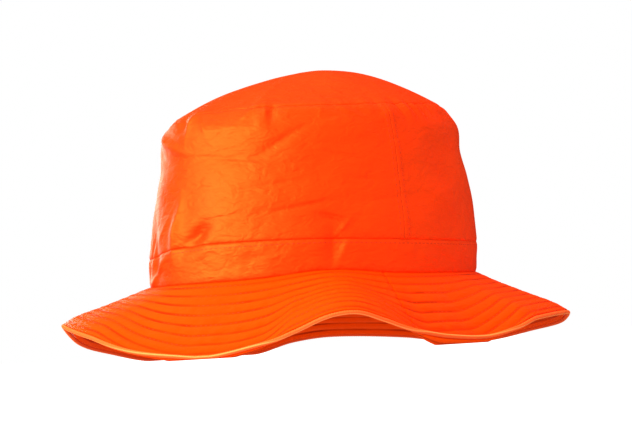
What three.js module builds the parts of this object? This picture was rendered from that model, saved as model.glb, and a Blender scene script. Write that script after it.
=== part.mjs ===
// Waterproof work hat: a soft round crown, a band and a quilted brim, standing on its brim.
// Millimetres, +Z up, origin on the surface that the hat stands on. The wearer faces -Y.
// Angles are in degrees about +Z, counted from +X towards +Y.
//
// The cloth is one draped surface, and a height says how far up it a point lies:
//   -1 the brim's edge, 0 the brim seam, 1 the top seam, 2 the centre of the top.
// Each piece is a sheet of that surface, with its thickness on the inner side, and ends half a
// seam gap short of the line where it is sewn to the next one.

import * as THREE from "three";

// Sizes of the cut cloth
const headLength = 202; // outside of the head opening, front to back
const headWidth = 173; // outside of the head opening, side to side
const crownDepth = 98; // brim seam to top seam
const bandWidth = 18; // brim seam to band seam
const brimWidth = 57; // brim seam to the middle of the rolled edge
const crownCloth = 1.2; // shell and proofing together
const bandCloth = 1.6; // shell and turned seam allowances
const brimCloth = 2.2; // two quilted layers
const edgeRoll = 2.6; // diameter of the overcast edge
const seamGap = 0.3; // clearance between sewn pieces
const rollGap = 0.5; // clearance between the brim's cloth and its overcast edge
const quiltRows = 9; // rows of stitching round the brim
const quiltRelief = 0.5; // how deep a row is pulled in on each side of the brim
const crownSeamAngle = 8; // one side seam of the crown, with the other opposite
const brimSeamAngle = -2; // one side seam of the brim, with the other opposite

// How the cloth hangs
const domeRise = 24.6; // the top's centre above the top seam
const domeRoundness = 1.9; // 2 is a parabola, and more is flatter in the middle
const domeSkew = 0.27; // how much fuller the top is on the side it leans to, share of domeRise
const foldFade = 0.5; // folds fade out from this share of the top's radius to its centre
const hemFade = 8; // how sharply the top's folds fade at its seam
const steepestDroop = 48; // slope of the brim where it comes down to the surface, degrees
const foldDepth = 5; // the deepest dent
const leanSide = 58; // the side that the crown leans to, degrees
const leanReach = 2.5; // how far its wall leans that way
const tipArch = 1.6; // how far the brim arches over just inside its edge
const archPeak = 0.8; // where that arch is highest, share of its width
const footReach = 0.86; // where a turned-up stretch of brim rests, share of its width
const pressed = 0.5; // how far cloth is squashed where it rests

// Facets
const facetsAround = 80;
const rollSides = 6;
const wallRows = [0, 0.14, 0.32, 0.54, 0.76, 0.91, 1]; // shares, band seam to top seam
const bandRows = [0, 0.5, 1]; // shares, brim seam to band seam
const topRows = [0, 0.3, 0.6, 0.88, 1]; // shares, the top's centre to top seam

// Section of the crown's wall. radius: share of the head opening's. lean: share of leanReach.
const CROWN_SECTIONS = [
  { height: 0, radius: 0.998, lean: 0 },
  { height: 0.18, radius: 1, lean: 0.4 },
  { height: 0.45, radius: 0.966, lean: 0.9 },
  { height: 0.72, radius: 0.922, lean: 1 },
  { height: 0.87, radius: 0.9, lean: 1 },
  { height: 0.96, radius: 0.86, lean: 0.8 },
  { height: 1, radius: 0.826, lean: 0.6 },
];

// How far each seam strays from level, as shares of bandWidth.
const SEAM_LEVELS = [
  { angle: -121, brim: 0, band: -0.2, top: -0.22 },
  { angle: -76, brim: -0.03, band: 0.18, top: 0.04 },
  { angle: -50, brim: 0, band: 0.2, top: 0.08 },
  { angle: -24, brim: 0.16, band: 0.14, top: 0.04 },
  { angle: 6, brim: -0.06, band: 0.02, top: 0.03 },
  { angle: 52, brim: -0.12, band: -0.12, top: 0.02 },
  { angle: 115, brim: 0, band: 0, top: 0 },
  { angle: 175, brim: 0, band: -0.05, top: -0.05 },
];

// The brim's edge. lift: height of its underside, share of seamHeight. width: share of brimWidth.
// foot: how fully the cloth just inside the edge comes down to the surface, from 0 to 1.
const RIM = [
  { angle: -154, lift: 0, width: 0.99, foot: 0 },
  { angle: -140, lift: 0.12, width: 0.98, foot: 0 },
  { angle: -122, lift: 0.29, width: 0.98, foot: 0 },
  { angle: -113, lift: 0.51, width: 0.99, foot: 0 },
  { angle: -104, lift: 0.48, width: 0.99, foot: 0 },
  { angle: -90, lift: 0.335, width: 1, foot: 0 },
  { angle: -77, lift: 0.125, width: 1, foot: 0.5 },
  { angle: -66, lift: 0.03, width: 1, foot: 1 },
  { angle: -57, lift: 0, width: 1, foot: 1 },
  { angle: -45, lift: 0.105, width: 1, foot: 0.6 },
  { angle: -36, lift: 0.235, width: 1, foot: 0 },
  { angle: -27, lift: 0.42, width: 1, foot: 0 },
  { angle: -20, lift: 0.45, width: 1, foot: 0 },
  { angle: -13, lift: 0.33, width: 1, foot: 0 },
  { angle: -5, lift: 0.19, width: 1, foot: 0.3 },
  { angle: 5, lift: 0.09, width: 1, foot: 1 },
  { angle: 18, lift: 0.05, width: 1.02, foot: 1 },
  { angle: 27, lift: 0.14, width: 1.04, foot: 0.4 },
  { angle: 35, lift: 0.25, width: 1.05, foot: 0 },
  { angle: 58, lift: 0.3, width: 1.07, foot: 0 },
  { angle: 68, lift: 0.2, width: 1.06, foot: 0 },
  { angle: 85, lift: 0.11, width: 1.02, foot: 0 },
  { angle: 100, lift: 0, width: 1, foot: 0 },
  { angle: 112, lift: 0, width: 1, foot: 0 },
  { angle: 126, lift: 0.115, width: 1, foot: 0 },
  { angle: 146, lift: 0.19, width: 1, foot: 0 },
  { angle: 157, lift: 0.14, width: 1, foot: 0 },
  { angle: 169, lift: 0, width: 1, foot: 0 },
];

// Dents (depth below 0) and puffs on the crown. depth: share of foldDepth. spread: half-width in
// degrees. reach: half-length in heights. slant: degrees that a fold turns per unit of height.
const FOLDS = [
  { angle: -73.5, height: 0.245, spread: 4, reach: 0.07, slant: 40, depth: -0.9 },
  { angle: -83.5, height: 0.3, spread: 2.8, reach: 0.16, slant: 4, depth: 0.55 },
  { angle: -99, height: 0.2, spread: 4, reach: 0.18, slant: -18, depth: -0.5 },
  { angle: -117, height: 0.2, spread: 8, reach: 0.17, slant: 0, depth: -0.3 },
  { angle: -119, height: 0.88, spread: 7, reach: 0.07, slant: 0, depth: 0.35 },
  { angle: -107, height: 0.82, spread: 4, reach: 0.05, slant: -140, depth: -0.35 },
  { angle: -98, height: 0.87, spread: 4.5, reach: 0.09, slant: -140, depth: 0.5 },
  { angle: -87.5, height: 0.955, spread: 3.5, reach: 0.06, slant: -60, depth: -0.55 },
  { angle: -65, height: 0.985, spread: 8, reach: 0.055, slant: 0, depth: -0.5 },
  { angle: -51.5, height: 1.01, spread: 2.6, reach: 0.09, slant: 68, depth: 0.35 },
  { angle: -49.5, height: 0.93, spread: 2.6, reach: 0.08, slant: 0, depth: 0.22 },
  { angle: -22.3, height: 0.13, spread: 4, reach: 0.13, slant: 0, depth: -0.35 },
  { angle: 44, height: 0.985, spread: 4, reach: 0.04, slant: 0, depth: 0.2 },
  { angle: 46, height: 0.5, spread: 30, reach: 0.3, slant: 0, depth: 0.2 },
  { angle: 108, height: 0.55, spread: 13, reach: 0.25, slant: 25, depth: -0.5 },
  { angle: 152, height: 0.3, spread: 9, reach: 0.25, slant: -30, depth: -0.45 },
  { angle: 196, height: 0.75, spread: 12, reach: 0.2, slant: 20, depth: -0.4 },
  { angle: 214, height: 0.14, spread: 6, reach: 0.15, slant: -30, depth: -0.45 },
  { angle: 120, height: 1.2, spread: 16, reach: 0.18, slant: 0, depth: -0.25 },
];

const { cos, sin, hypot, exp, min, max, floor, round, sqrt, PI } = Math;
const { degToRad, radToDeg, euclideanModulo, smoothstep, lerp } = THREE.MathUtils;

const bandTop = bandWidth / crownDepth; // height of the band seam
const edgeRise = (edgeRoll + brimCloth) / 2 - pressed; // the brim's upper side above its edge's underside
const seamHeight = edgeRise + brimWidth * sin(degToRad(steepestDroop));

// Angle difference brought into -180 to 180 degrees.
const turn = (degrees) => euclideanModulo(degrees + 180, 360) - 180;

// Smooth curve through rows sorted by key, of cubic Hermite spans. A period closes it on itself.
function smooth(rows, key, column, at, period) {
  const count = rows.length;
  const row = (i) => {
    const wraps = period ? floor(i / count) : 0;
    const r = rows[period ? i - wraps * count : min(max(i, 0), count - 1)];
    return { x: r[key] + wraps * (period ?? 0), y: r[column] };
  };
  const x = period ? rows[0][key] + euclideanModulo(at - rows[0][key], period) : at;
  const lastSpan = period ? count - 1 : count - 2;
  let i = 0;
  while (i < lastSpan && row(i + 1).x <= x) i += 1;
  const [a, b, c, d] = [row(i - 1), row(i), row(i + 1), row(i + 2)];
  const span = c.x - b.x;
  const slope = (p, q) => ((q.y - p.y) / (q.x - p.x)) * span;
  const t = (x - b.x) / span;
  const rise = (3 - 2 * t) * t * t;
  const fromStart = (t - 1) * (t - 1) * t * slope(a, c);
  const intoEnd = (t - 1) * t * t * slope(b, d);
  return lerp(b.y, c.y, rise) + fromStart + intoEnd;
}

const wallShape = (height, column) => smooth(CROWN_SECTIONS, "height", column, height);
const seamStray = (angle, seam) => smooth(SEAM_LEVELS, "angle", seam, angle, 360) * bandWidth;
const rim = (angle, column) => max(smooth(RIM, "angle", column, angle, 360), 0);

// Heights above the surface of the three seams.
const brimSeamZ = (angle) => seamHeight + seamStray(angle, "brim");
const bandSeamZ = (angle) => seamHeight + bandWidth + seamStray(angle, "band");
const topSeamZ = (angle) => seamHeight + crownDepth + seamStray(angle, "top");

// Radius of the oval head opening.
function headRadius(angle) {
  const [a, b] = [headWidth / 2, headLength / 2];
  return (a * b) / hypot(b * cos(degToRad(angle)), a * sin(degToRad(angle)));
}

// How far the folds stand out of the crown.
function foldOut(angle, height) {
  let out = 0;
  for (const fold of FOLDS) {
    const up = height - fold.height;
    const aside = turn(angle - fold.angle - fold.slant * up) / fold.spread;
    out += fold.depth * exp(-(aside ** 2) - (up / fold.reach) ** 2);
  }
  return out * foldDepth;
}

// A point on the outside of the wall, height 0 to 1.
function wallPoint(angle, height) {
  const r = headRadius(angle) * wallShape(height, "radius") + foldOut(angle, height);
  const lean = leanReach * wallShape(height, "lean");
  const inBand = height < bandTop;
  const [low, high] = inBand ? [brimSeamZ, bandSeamZ] : [bandSeamZ, topSeamZ];
  const share = inBand ? height / bandTop : (height - bandTop) / (1 - bandTop);
  return new THREE.Vector3(
    r * cos(degToRad(angle)) + lean * cos(degToRad(leanSide)),
    r * sin(degToRad(angle)) + lean * sin(degToRad(leanSide)),
    lerp(low(angle), high(angle), share),
  );
}

// A point on the outside of the domed top: share 1 at the top seam, 0 at its centre. The dome is
// a rounded parabola, fuller on the side that the crown leans to.
function topPoint(angle, share) {
  const rimPoint = wallPoint(angle, 1);
  const level = seamHeight + crownDepth;
  const skew = domeSkew * share * cos(degToRad(angle - leanSide)) * (1 - share ** 2) ** 2;
  const fold = foldOut(angle, 2 - share) * smoothstep(share, 0, foldFade) * (1 - share ** hemFade);
  return new THREE.Vector3(
    lerp(leanReach * cos(degToRad(leanSide)), rimPoint.x, share),
    lerp(leanReach * sin(degToRad(leanSide)), rimPoint.y, share),
    lerp(level, rimPoint.z, share ** 2) + domeRise * (1 - share ** domeRoundness + skew) + fold,
  );
}

// How far a foot's dip has come down, from 0 at the brim seam to 1 at footReach and 0 at the edge.
function footDip(reach) {
  if (reach < footReach) return (1 - cos((PI * reach) / footReach)) / 2;
  return cos(((PI / 2) * (reach - footReach)) / (1 - footReach));
}

// Share of tipArch at a reach: 0 at both ends of the brim, and 1 at archPeak.
const archPower = archPeak / (1 - archPeak);
const archAt = (reach) =>
  (reach ** archPower * (1 - reach)) / (archPeak ** archPower * (1 - archPeak));

// A point on the upper side of the brim, from the brim seam at reach 0 to its edge at 1. The cloth
// keeps its width, so a stretch that hangs lower reaches out less far.
function brimPoint(angle, reach) {
  const seamZ = brimSeamZ(angle);
  const drop = seamZ - edgeRise - rim(angle, "lift") * seamHeight;
  const across = sqrt((brimWidth * rim(angle, "width")) ** 2 - drop ** 2);
  const onFoot = seamZ - drop * footReach - (brimCloth - pressed);
  const foot = min(rim(angle, "foot"), 1);
  const dip = foot * (max(onFoot, 0) * footDip(reach) + tipArch * archAt(reach));
  const r = headRadius(angle) * wallShape(0, "radius") + across * reach;
  const z = seamZ - drop * reach + tipArch * archAt(reach) - dip;
  return new THREE.Vector3(r * cos(degToRad(angle)), r * sin(degToRad(angle)), z);
}

// A point on the outer side of the cloth.
function clothPoint(angle, height) {
  if (height < 0) return brimPoint(angle, -height);
  return height > 1 ? topPoint(angle, max(2 - height, 0)) : wallPoint(angle, height);
}

// The outward normal of the cloth, from differences across about a millimetre to each side.
const stepAngle = 0.5;
const stepHeight = 0.01;
function clothNormal(angle, height) {
  const around = clothPoint(angle + stepAngle, height).sub(clothPoint(angle - stepAngle, height));
  const onward = clothPoint(angle, height + stepHeight).sub(clothPoint(angle, height - stepHeight));
  const normal = around.cross(onward);
  return normal.lengthSq() > 0 ? normal.normalize() : new THREE.Vector3(0, 0, 1);
}

// A point inside the cloth, a depth in from its outer side. Cloth that meets the surface below
// flattens on it.
function pointInCloth(angle, height, depth) {
  const point = clothPoint(angle, height).addScaledVector(clothNormal(angle, height), -depth);
  point.z = max(point.z, 0);
  return point;
}

// Moves each vertex of a geometry to the place worked out for it.
function bend(geometry, place) {
  const position = geometry.getAttribute("position");
  for (let i = 0; i < position.count; i += 1) {
    const to = place(position.getX(i), position.getY(i), position.getZ(i));
    position.setXYZ(i, to.x, to.y, to.z);
  }
  geometry.deleteAttribute("uv");
  geometry.computeVertexNormals();
  return geometry;
}

// A panel between two angles: a box with its width round the hat, its height through the cloth
// and its depth down the rows.
function panel(from, to, heights, depthAt) {
  const last = heights.length - 1;
  const around = round((facetsAround * (to - from)) / 360);
  const box = new THREE.BoxGeometry(around, 1, last, around, 1, last);
  return bend(box, (x, y, z) => {
    const angle = lerp(from, to, x / around + 0.5);
    const row = last - round(z + last / 2);
    return pointInCloth(angle, heights[row], depthAt(row, 0.5 - y));
  });
}

// A closed ring: a lathed strip with its inner side at radius 1 and its outer side at radius 2.
function ring(heights, thickness) {
  const outer = heights.map((height) => new THREE.Vector2(2, height));
  const inner = heights.map((height) => new THREE.Vector2(1, height)).reverse();
  const strip = new THREE.LatheGeometry([...outer, ...inner, outer[0].clone()], facetsAround);
  return bend(strip, (x, y, z) => {
    return pointInCloth(radToDeg(Math.atan2(x, z)), y, (2 - hypot(x, z)) * thickness);
  });
}

// A round cap: a lathed disc with the share of the way to its edge as its radius.
function cap(shares, thickness) {
  const inner = shares.map((share) => new THREE.Vector2(share, 0));
  const outer = shares.map((share) => new THREE.Vector2(share, 1)).reverse();
  const disc = new THREE.LatheGeometry([...inner, ...outer], facetsAround);
  return bend(disc, (x, y, z) => {
    return pointInCloth(radToDeg(Math.atan2(x, z)), 2 - hypot(x, z), (1 - y) * thickness);
  });
}

// The two angles of a half panel that starts at a side seam, half a seam gap inside it.
function halfTurn(seamAngle) {
  const gapAngle = radToDeg(seamGap / headWidth);
  return [seamAngle + gapAngle, seamAngle + 180 - gapAngle];
}

const halfGap = seamGap / 2;
const brimEnd = -1 + (edgeRoll / 2 + rollGap) / brimWidth; // height where the quilted cloth ends

// The domed top of the crown.
function crownTop() {
  const edge = 1 - halfGap / (headWidth / 2);
  return cap(topRows.map((share) => share * edge), crownCloth);
}

// Half of the crown's wall, from the band seam to the top seam.
function crownSide(seamAngle) {
  const [low, high] = [bandTop + halfGap / crownDepth, 1 - halfGap / crownDepth];
  const heights = wallRows.map((share) => lerp(low, high, share));
  return panel(...halfTurn(seamAngle), heights, (row, inward) => inward * crownCloth);
}

// The band, one strip round the head opening.
function band() {
  const [low, high] = [halfGap / crownDepth, bandTop - halfGap / crownDepth];
  return ring(bandRows.map((share) => lerp(low, high, share)), bandCloth);
}

// Half of the brim. Every second row of facets is a line of stitching, pulled in on both sides.
function brimHalf(seamAngle) {
  const [low, high] = [brimEnd, -halfGap / brimWidth];
  const rows = 2 * quiltRows;
  const heights = Array.from({ length: rows + 1 }, (_, row) => lerp(low, high, row / rows));
  const pull = (row) => (row % 2 === 1 ? quiltRelief : 0);
  return panel(...halfTurn(seamAngle), heights, (row, inward) =>
    lerp(pull(row), brimCloth - pull(row), inward));
}

// The overcast edge: a ring bent along the brim, just beyond the end of its cloth.
function brimEdge() {
  const torus = new THREE.TorusGeometry(headLength, edgeRoll / 2, rollSides, facetsAround);
  return bend(torus, (x, y, z) => {
    const angle = radToDeg(Math.atan2(y, x));
    const end = clothPoint(angle, brimEnd);
    const outward = end.clone().sub(clothPoint(angle, brimEnd + stepHeight)).normalize();
    const normal = clothNormal(angle, brimEnd);
    const beyond = edgeRoll / 2 + rollGap + hypot(x, y) - headLength;
    const point = end.addScaledVector(normal, z - brimCloth / 2).addScaledVector(outward, beyond);
    point.z = max(point.z, 0);
    return point;
  });
}

// Coated nylon in the finish of one piece.
function nylon(color, roughness) {
  return new THREE.MeshStandardMaterial({ color, roughness, metalness: 0 });
}

function piece(name, geometry, material) {
  const mesh = new THREE.Mesh(geometry, material);
  mesh.name = name;
  return mesh;
}

const shell = nylon("#ff4a08", 0.42);
const quilted = nylon("#ff5208", 0.5);
const thread = nylon("#f58a3c", 0.8);

const hat = new THREE.Group();
hat.add(piece("crown_top", crownTop(), shell));
hat.add(piece("crown_side_back", crownSide(crownSeamAngle), shell));
hat.add(piece("crown_side_front", crownSide(crownSeamAngle + 180), shell));
hat.add(piece("band", band(), shell));
hat.add(piece("brim_back", brimHalf(brimSeamAngle), quilted));
hat.add(piece("brim_front", brimHalf(brimSeamAngle + 180), quilted));
hat.add(piece("brim_edge", brimEdge(), thread));

// The origin stands midway along the brim's reach to each side.
const reach = new THREE.Box3().setFromObject(hat, true).getCenter(new THREE.Vector3());
hat.position.set(-reach.x, -reach.y, 0);

export default hat;
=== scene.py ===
"""A waterproof bucket hat of coated orange nylon, standing on its brim.

The hat is one draped surface that is cut into sewn pieces. A place on it is an angle in degrees
about +Z, counted from +X towards +Y, and a height: -1 at the brim's edge, 0 at the brim seam,
1 at the top seam and 2 at the centre of the top. Sizes are in millimetres until a mesh is made,
which is in metres. The wearer faces -Y.
"""

from __future__ import annotations

import logging
import math
from dataclasses import dataclass, field, replace
from enum import Enum
from functools import cached_property
from typing import Any, NamedTuple, Sequence

import bpy
import numpy as np
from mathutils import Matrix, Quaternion, Vector

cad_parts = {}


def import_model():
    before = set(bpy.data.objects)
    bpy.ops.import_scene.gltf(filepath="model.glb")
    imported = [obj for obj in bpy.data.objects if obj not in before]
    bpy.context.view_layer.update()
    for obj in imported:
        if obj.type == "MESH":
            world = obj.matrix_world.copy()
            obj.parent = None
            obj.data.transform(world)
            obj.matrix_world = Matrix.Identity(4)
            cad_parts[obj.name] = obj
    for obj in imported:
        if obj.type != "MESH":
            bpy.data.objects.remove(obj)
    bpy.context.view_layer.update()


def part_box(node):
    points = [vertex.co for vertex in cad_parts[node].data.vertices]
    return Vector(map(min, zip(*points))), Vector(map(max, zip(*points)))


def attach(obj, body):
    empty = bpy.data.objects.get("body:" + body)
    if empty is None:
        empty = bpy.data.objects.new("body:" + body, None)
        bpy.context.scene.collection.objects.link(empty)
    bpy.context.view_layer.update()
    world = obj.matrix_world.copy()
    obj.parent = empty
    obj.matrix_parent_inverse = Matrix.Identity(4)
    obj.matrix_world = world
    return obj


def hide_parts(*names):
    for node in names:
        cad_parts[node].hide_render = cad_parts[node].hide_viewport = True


MM = 0.001  # metres in a millimetre
BODY = "root"
PATTERN = "Cloth"  # the UV map that holds each piece's pattern coordinates, in millimetres
WHITE = "#ffffff"
ANGLE_STEP = 0.5  # degrees, the short step round the hat that gives a direction
HEIGHT_STEP = 0.01  # the short step up the cloth that gives a direction
WAVE_TURN = 20  # radians that a Wave texture turns by in a unit at scale 1
MIX_SHARE, MIX_FIRST, MIX_SECOND = 0, 6, 7  # a Mix node's inputs for colours
MIXED = 2  # its output for colours

log = logging.getLogger("rain_hat")


class Seam(Enum):
    """The seams round the hat, by their column in SEAM_LEVELS."""

    BRIM = "brim"
    BAND = "band"
    TOP = "top"


class Edge(Enum):
    """How a fold turns at its crest."""

    ROUND = "round"
    SHARP = "sharp"


class Finish(Enum):
    """The finishes, by their field in Finishes."""

    SHELL = "shell"
    BAND = "band"
    BRIM = "brim"
    UNDERSIDE = "underside"
    LINING = "lining"
    THREAD = "thread"
    OVERCAST = "overcast"


class WallSection(NamedTuple):
    """A level of the crown's wall. radius: share of the opening's. lean: share of lean_reach."""

    height: float
    radius: float
    lean: float


class SeamLevel(NamedTuple):
    """How far each seam strays from level at an angle, as shares of band_width."""

    angle: float
    brim: float
    band: float
    top: float


class RimPoint(NamedTuple):
    """The brim's edge at an angle.

    lift: height of its underside, share of the brim seam's. width: share of brim_width. foot: how
    fully the cloth just inside the edge comes down to the floor, from 0 to 1.
    """

    angle: float
    lift: float
    width: float
    foot: float


class Fold(NamedTuple):
    """A dent (depth below 0) or a puff.

    spread: half-width in degrees. reach: half-length in heights. slant: degrees that it turns per
    unit of height. depth: share of fold_depth, or of crease_depth for creases. edge: how it turns
    at its crest.
    """

    angle: float
    height: float
    spread: float
    reach: float
    slant: float
    depth: float
    edge: Edge = Edge.ROUND


CROWN_SECTIONS = (
    WallSection(0, 0.998, 0),
    WallSection(0.18, 1, 0.4),
    WallSection(0.45, 0.966, 0.9),
    WallSection(0.72, 0.922, 1),
    WallSection(0.87, 0.9, 1),
    WallSection(0.96, 0.86, 0.8),
    WallSection(1, 0.826, 0.6),
)

SEAM_LEVELS = (
    SeamLevel(-121, 0, -0.2, -0.22),
    SeamLevel(-76, -0.03, 0.18, 0.04),
    SeamLevel(-50, 0, 0.2, 0.08),
    SeamLevel(-24, 0.16, 0.14, 0.04),
    SeamLevel(6, -0.06, 0.02, 0.03),
    SeamLevel(52, -0.12, -0.12, 0.02),
    SeamLevel(115, 0, 0, 0),
    SeamLevel(175, 0, -0.05, -0.05),
)

RIM = (
    RimPoint(-154, 0, 0.99, 0),
    RimPoint(-140, 0.12, 0.98, 0),
    RimPoint(-122, 0.29, 0.98, 0),
    RimPoint(-113, 0.51, 0.99, 0),
    RimPoint(-104, 0.48, 0.99, 0),
    RimPoint(-90, 0.335, 1, 0),
    RimPoint(-77, 0.125, 1, 0.5),
    RimPoint(-66, 0.03, 1, 1),
    RimPoint(-57, 0, 1, 1),
    RimPoint(-45, 0.105, 1, 0.6),
    RimPoint(-36, 0.235, 1, 0),
    RimPoint(-27, 0.42, 1, 0),
    RimPoint(-20, 0.45, 1, 0),
    RimPoint(-13, 0.33, 1, 0),
    RimPoint(-5, 0.19, 1, 0.3),
    RimPoint(5, 0.09, 1, 1),
    RimPoint(18, 0.05, 1.02, 1),
    RimPoint(27, 0.14, 1.04, 0.4),
    RimPoint(35, 0.25, 1.05, 0),
    RimPoint(58, 0.3, 1.07, 0),
    RimPoint(68, 0.2, 1.06, 0),
    RimPoint(85, 0.11, 1.02, 0),
    RimPoint(100, 0, 1, 0),
    RimPoint(112, 0, 1, 0),
    RimPoint(126, 0.115, 1, 0),
    RimPoint(146, 0.19, 1, 0),
    RimPoint(157, 0.14, 1, 0),
    RimPoint(169, 0, 1, 0),
)

# The large dents and puffs.
FOLDS = (
    Fold(-73.5, 0.245, 4, 0.07, 40, -0.9),
    Fold(-83.5, 0.3, 2.8, 0.16, 4, 0.55),
    Fold(-99, 0.2, 4, 0.18, -18, -0.5),
    Fold(-117, 0.2, 8, 0.17, 0, -0.3),
    Fold(-119, 0.88, 7, 0.07, 0, 0.35),
    Fold(-107, 0.82, 4, 0.05, -140, -0.35),
    Fold(-98, 0.87, 4.5, 0.09, -140, 0.5),
    Fold(-87.5, 0.955, 3.5, 0.06, -60, -0.55),
    Fold(-65, 0.985, 8, 0.055, 0, -0.5),
    Fold(-51.5, 1.01, 2.6, 0.09, 68, 0.35),
    Fold(-49.5, 0.93, 2.6, 0.08, 0, 0.22),
    Fold(-22.3, 0.13, 4, 0.13, 0, -0.35),
    Fold(44, 0.985, 4, 0.04, 0, 0.2),
    Fold(46, 0.5, 30, 0.3, 0, 0.2),
    Fold(108, 0.55, 13, 0.25, 25, -0.5),
    Fold(152, 0.3, 9, 0.25, -30, -0.45),
    Fold(196, 0.75, 12, 0.2, 20, -0.4),
    Fold(214, 0.14, 6, 0.15, -30, -0.45),
    Fold(120, 1.2, 16, 0.18, 0, -0.25),
)

# The fine creases that lie on them.
CREASES = (
    Fold(-117, 0.22, 1.3, 0.2, 6, 0.09, Edge.SHARP),
    Fold(-113, 0.16, 1.1, 0.16, -10, -0.08, Edge.SHARP),
    Fold(-108.5, 0.2, 1.2, 0.2, -6, 0.1, Edge.SHARP),
    Fold(-104.5, 0.17, 1.1, 0.15, 14, -0.1, Edge.SHARP),
    Fold(-101, 0.24, 1.2, 0.18, 10, 0.08, Edge.SHARP),
    Fold(-94, 0.09, 3, 0.08, 90, 0.24),
    Fold(-65, 0.885, 7, 0.025, 0, 0.08),
    Fold(-92, 0.33, 1.6, 0.13, 44, 0.08, Edge.SHARP),
    Fold(-83, 0.31, 1.1, 0.14, 4, 0.12, Edge.SHARP),
    Fold(-90, 0.98, 1.6, 0.06, -30, -0.08, Edge.SHARP),
    Fold(-81, 0.94, 2.2, 0.08, 10, 0.28, Edge.SHARP),
    Fold(-83, 0.92, 1.2, 0.05, 58, 0.07, Edge.SHARP),
    Fold(-74, 0.92, 2, 0.07, -30, 0.2, Edge.SHARP),
    Fold(-72.5, 0.995, 6, 0.02, -432, 0.05, Edge.SHARP),
    Fold(-64, 0.335, 1.8, 0.025, 60, -0.07, Edge.SHARP),
    Fold(-59.6, 0.285, 2, 0.02, 80, -0.06, Edge.SHARP),
    Fold(-47.3, 0.96, 0.9, 0.09, -8, 0.07, Edge.SHARP),
    Fold(-44.5, 0.97, 2.2, 0.05, 0, -0.2),
    Fold(-42.5, 0.965, 0.9, 0.04, 0, 0.07, Edge.SHARP),
    Fold(-40, 0.8, 3, 0.08, 103, -0.14),
    Fold(-36, 0.652, 4, 0.015, 378, -0.06, Edge.SHARP),
    Fold(-34, 0.387, 5, 0.035, 325, -0.2, Edge.SHARP),
    Fold(-22, 0.315, 3.5, 0.03, -200, -0.2),
    Fold(-17.7, 0.265, 1.6, 0.05, 51, 0.16, Edge.SHARP),
    Fold(-15, 0.683, 3.5, 0.03, -288, -0.1, Edge.SHARP),
    Fold(-7.6, 0.548, 4, 0.015, -380, -0.09, Edge.SHARP),
    Fold(-62, 0.7, 9, 0.03, -420, -0.1, Edge.SHARP),
    Fold(-46, 0.52, 8, 0.03, 380, -0.1, Edge.SHARP),
    Fold(-2, 0.42, 7, 0.03, 360, -0.09, Edge.SHARP),
    Fold(-24, 0.965, 1, 0.04, 30, 0.07, Edge.SHARP),
    Fold(-11, 0.955, 1, 0.04, -130, 0.09, Edge.SHARP),
    Fold(-7, 0.965, 1, 0.035, -130, -0.08, Edge.SHARP),
    Fold(-6.4, 0.835, 6, 0.05, 0, 0.1),
    Fold(8, 0.935, 4.5, 0.05, 0, 0.17),
    Fold(-22.4, 0.13, 1.2, 0.12, 0, -0.09, Edge.SHARP),
    Fold(-18, 0.12, 1.4, 0.1, 30, 0.06),
    Fold(16.9, 0.965, 1.3, 0.05, -12, -0.2, Edge.SHARP),
    Fold(20.5, 0.965, 1.6, 0.05, -12, 0.16, Edge.SHARP),
    Fold(24.6, 0.965, 1.3, 0.05, -12, -0.2, Edge.SHARP),
    Fold(27.8, 0.965, 1.4, 0.05, -12, 0.12, Edge.SHARP),
    Fold(31.1, 0.965, 1.3, 0.05, -12, -0.18, Edge.SHARP),
    Fold(37.1, 0.965, 1.4, 0.05, -12, -0.16, Edge.SHARP),
    Fold(22.7, 0.476, 2.5, 0.03, -163, 0.06, Edge.SHARP),
    Fold(70, 0.93, 2, 0.07, -30, -0.06, Edge.SHARP),
    Fold(96, 0.9, 2.4, 0.08, 30, 0.07),
    Fold(118, 0.34, 2, 0.12, 60, -0.08, Edge.SHARP),
    Fold(141, 0.92, 2, 0.07, 20, -0.07, Edge.SHARP),
    Fold(163, 0.2, 1.6, 0.13, -20, 0.09, Edge.SHARP),
    Fold(172, 0.25, 1.8, 0.12, -50, -0.08, Edge.SHARP),
    Fold(204, 0.9, 2, 0.08, -24, 0.07, Edge.SHARP),
    Fold(222, 0.22, 1.6, 0.14, 16, 0.09, Edge.SHARP),
    Fold(229, 0.3, 2, 0.12, 30, -0.07, Edge.SHARP),
)


@dataclass(frozen=True)
class Cut:
    """Sizes of the cut cloth, in millimetres."""

    head_length: float = 202.0
    head_width: float = 173.0
    crown_depth: float = 98.0  # from the brim seam to the top seam
    band_width: float = 18.0
    brim_width: float = 57.0
    crown_cloth: float = 1.2
    band_cloth: float = 1.6
    brim_cloth: float = 2.2
    edge_roll: float = 2.6  # width of the rolled edge
    seam_gap: float = 0.02  # between two pieces, narrow enough to let no light through
    roll_gap: float = 0.02  # between the quilted cloth and the rolled edge
    quilt_rows: int = 9
    edge_strands: int = 2  # round the rolled edge, each drawn as a painted highlight line
    crown_seam: float = 8.0  # degrees, where one of the crown's side seams lies
    brim_seam: float = -2.0  # degrees, where one of the brim's side seams lies

    @property
    def band_top(self) -> float:
        """Height of the band seam."""
        return self.band_width / self.crown_depth

    @property
    def brim_end(self) -> float:
        """Height where the quilted cloth ends, just inside the overcast edge."""
        return -1 + (self.edge_roll / 2 + self.roll_gap) / self.brim_width

    @property
    def row_spacing(self) -> float:
        """Distance between two rows of quilting. The first lies half of it from the seam."""
        return -self.brim_end * self.brim_width / self.quilt_rows

    @property
    def strand_spacing(self) -> float:
        """Distance round the rolled edge between two of its strands, drawn as painted highlight
        lines.
        """
        return math.pi * self.edge_roll / self.edge_strands


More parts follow.
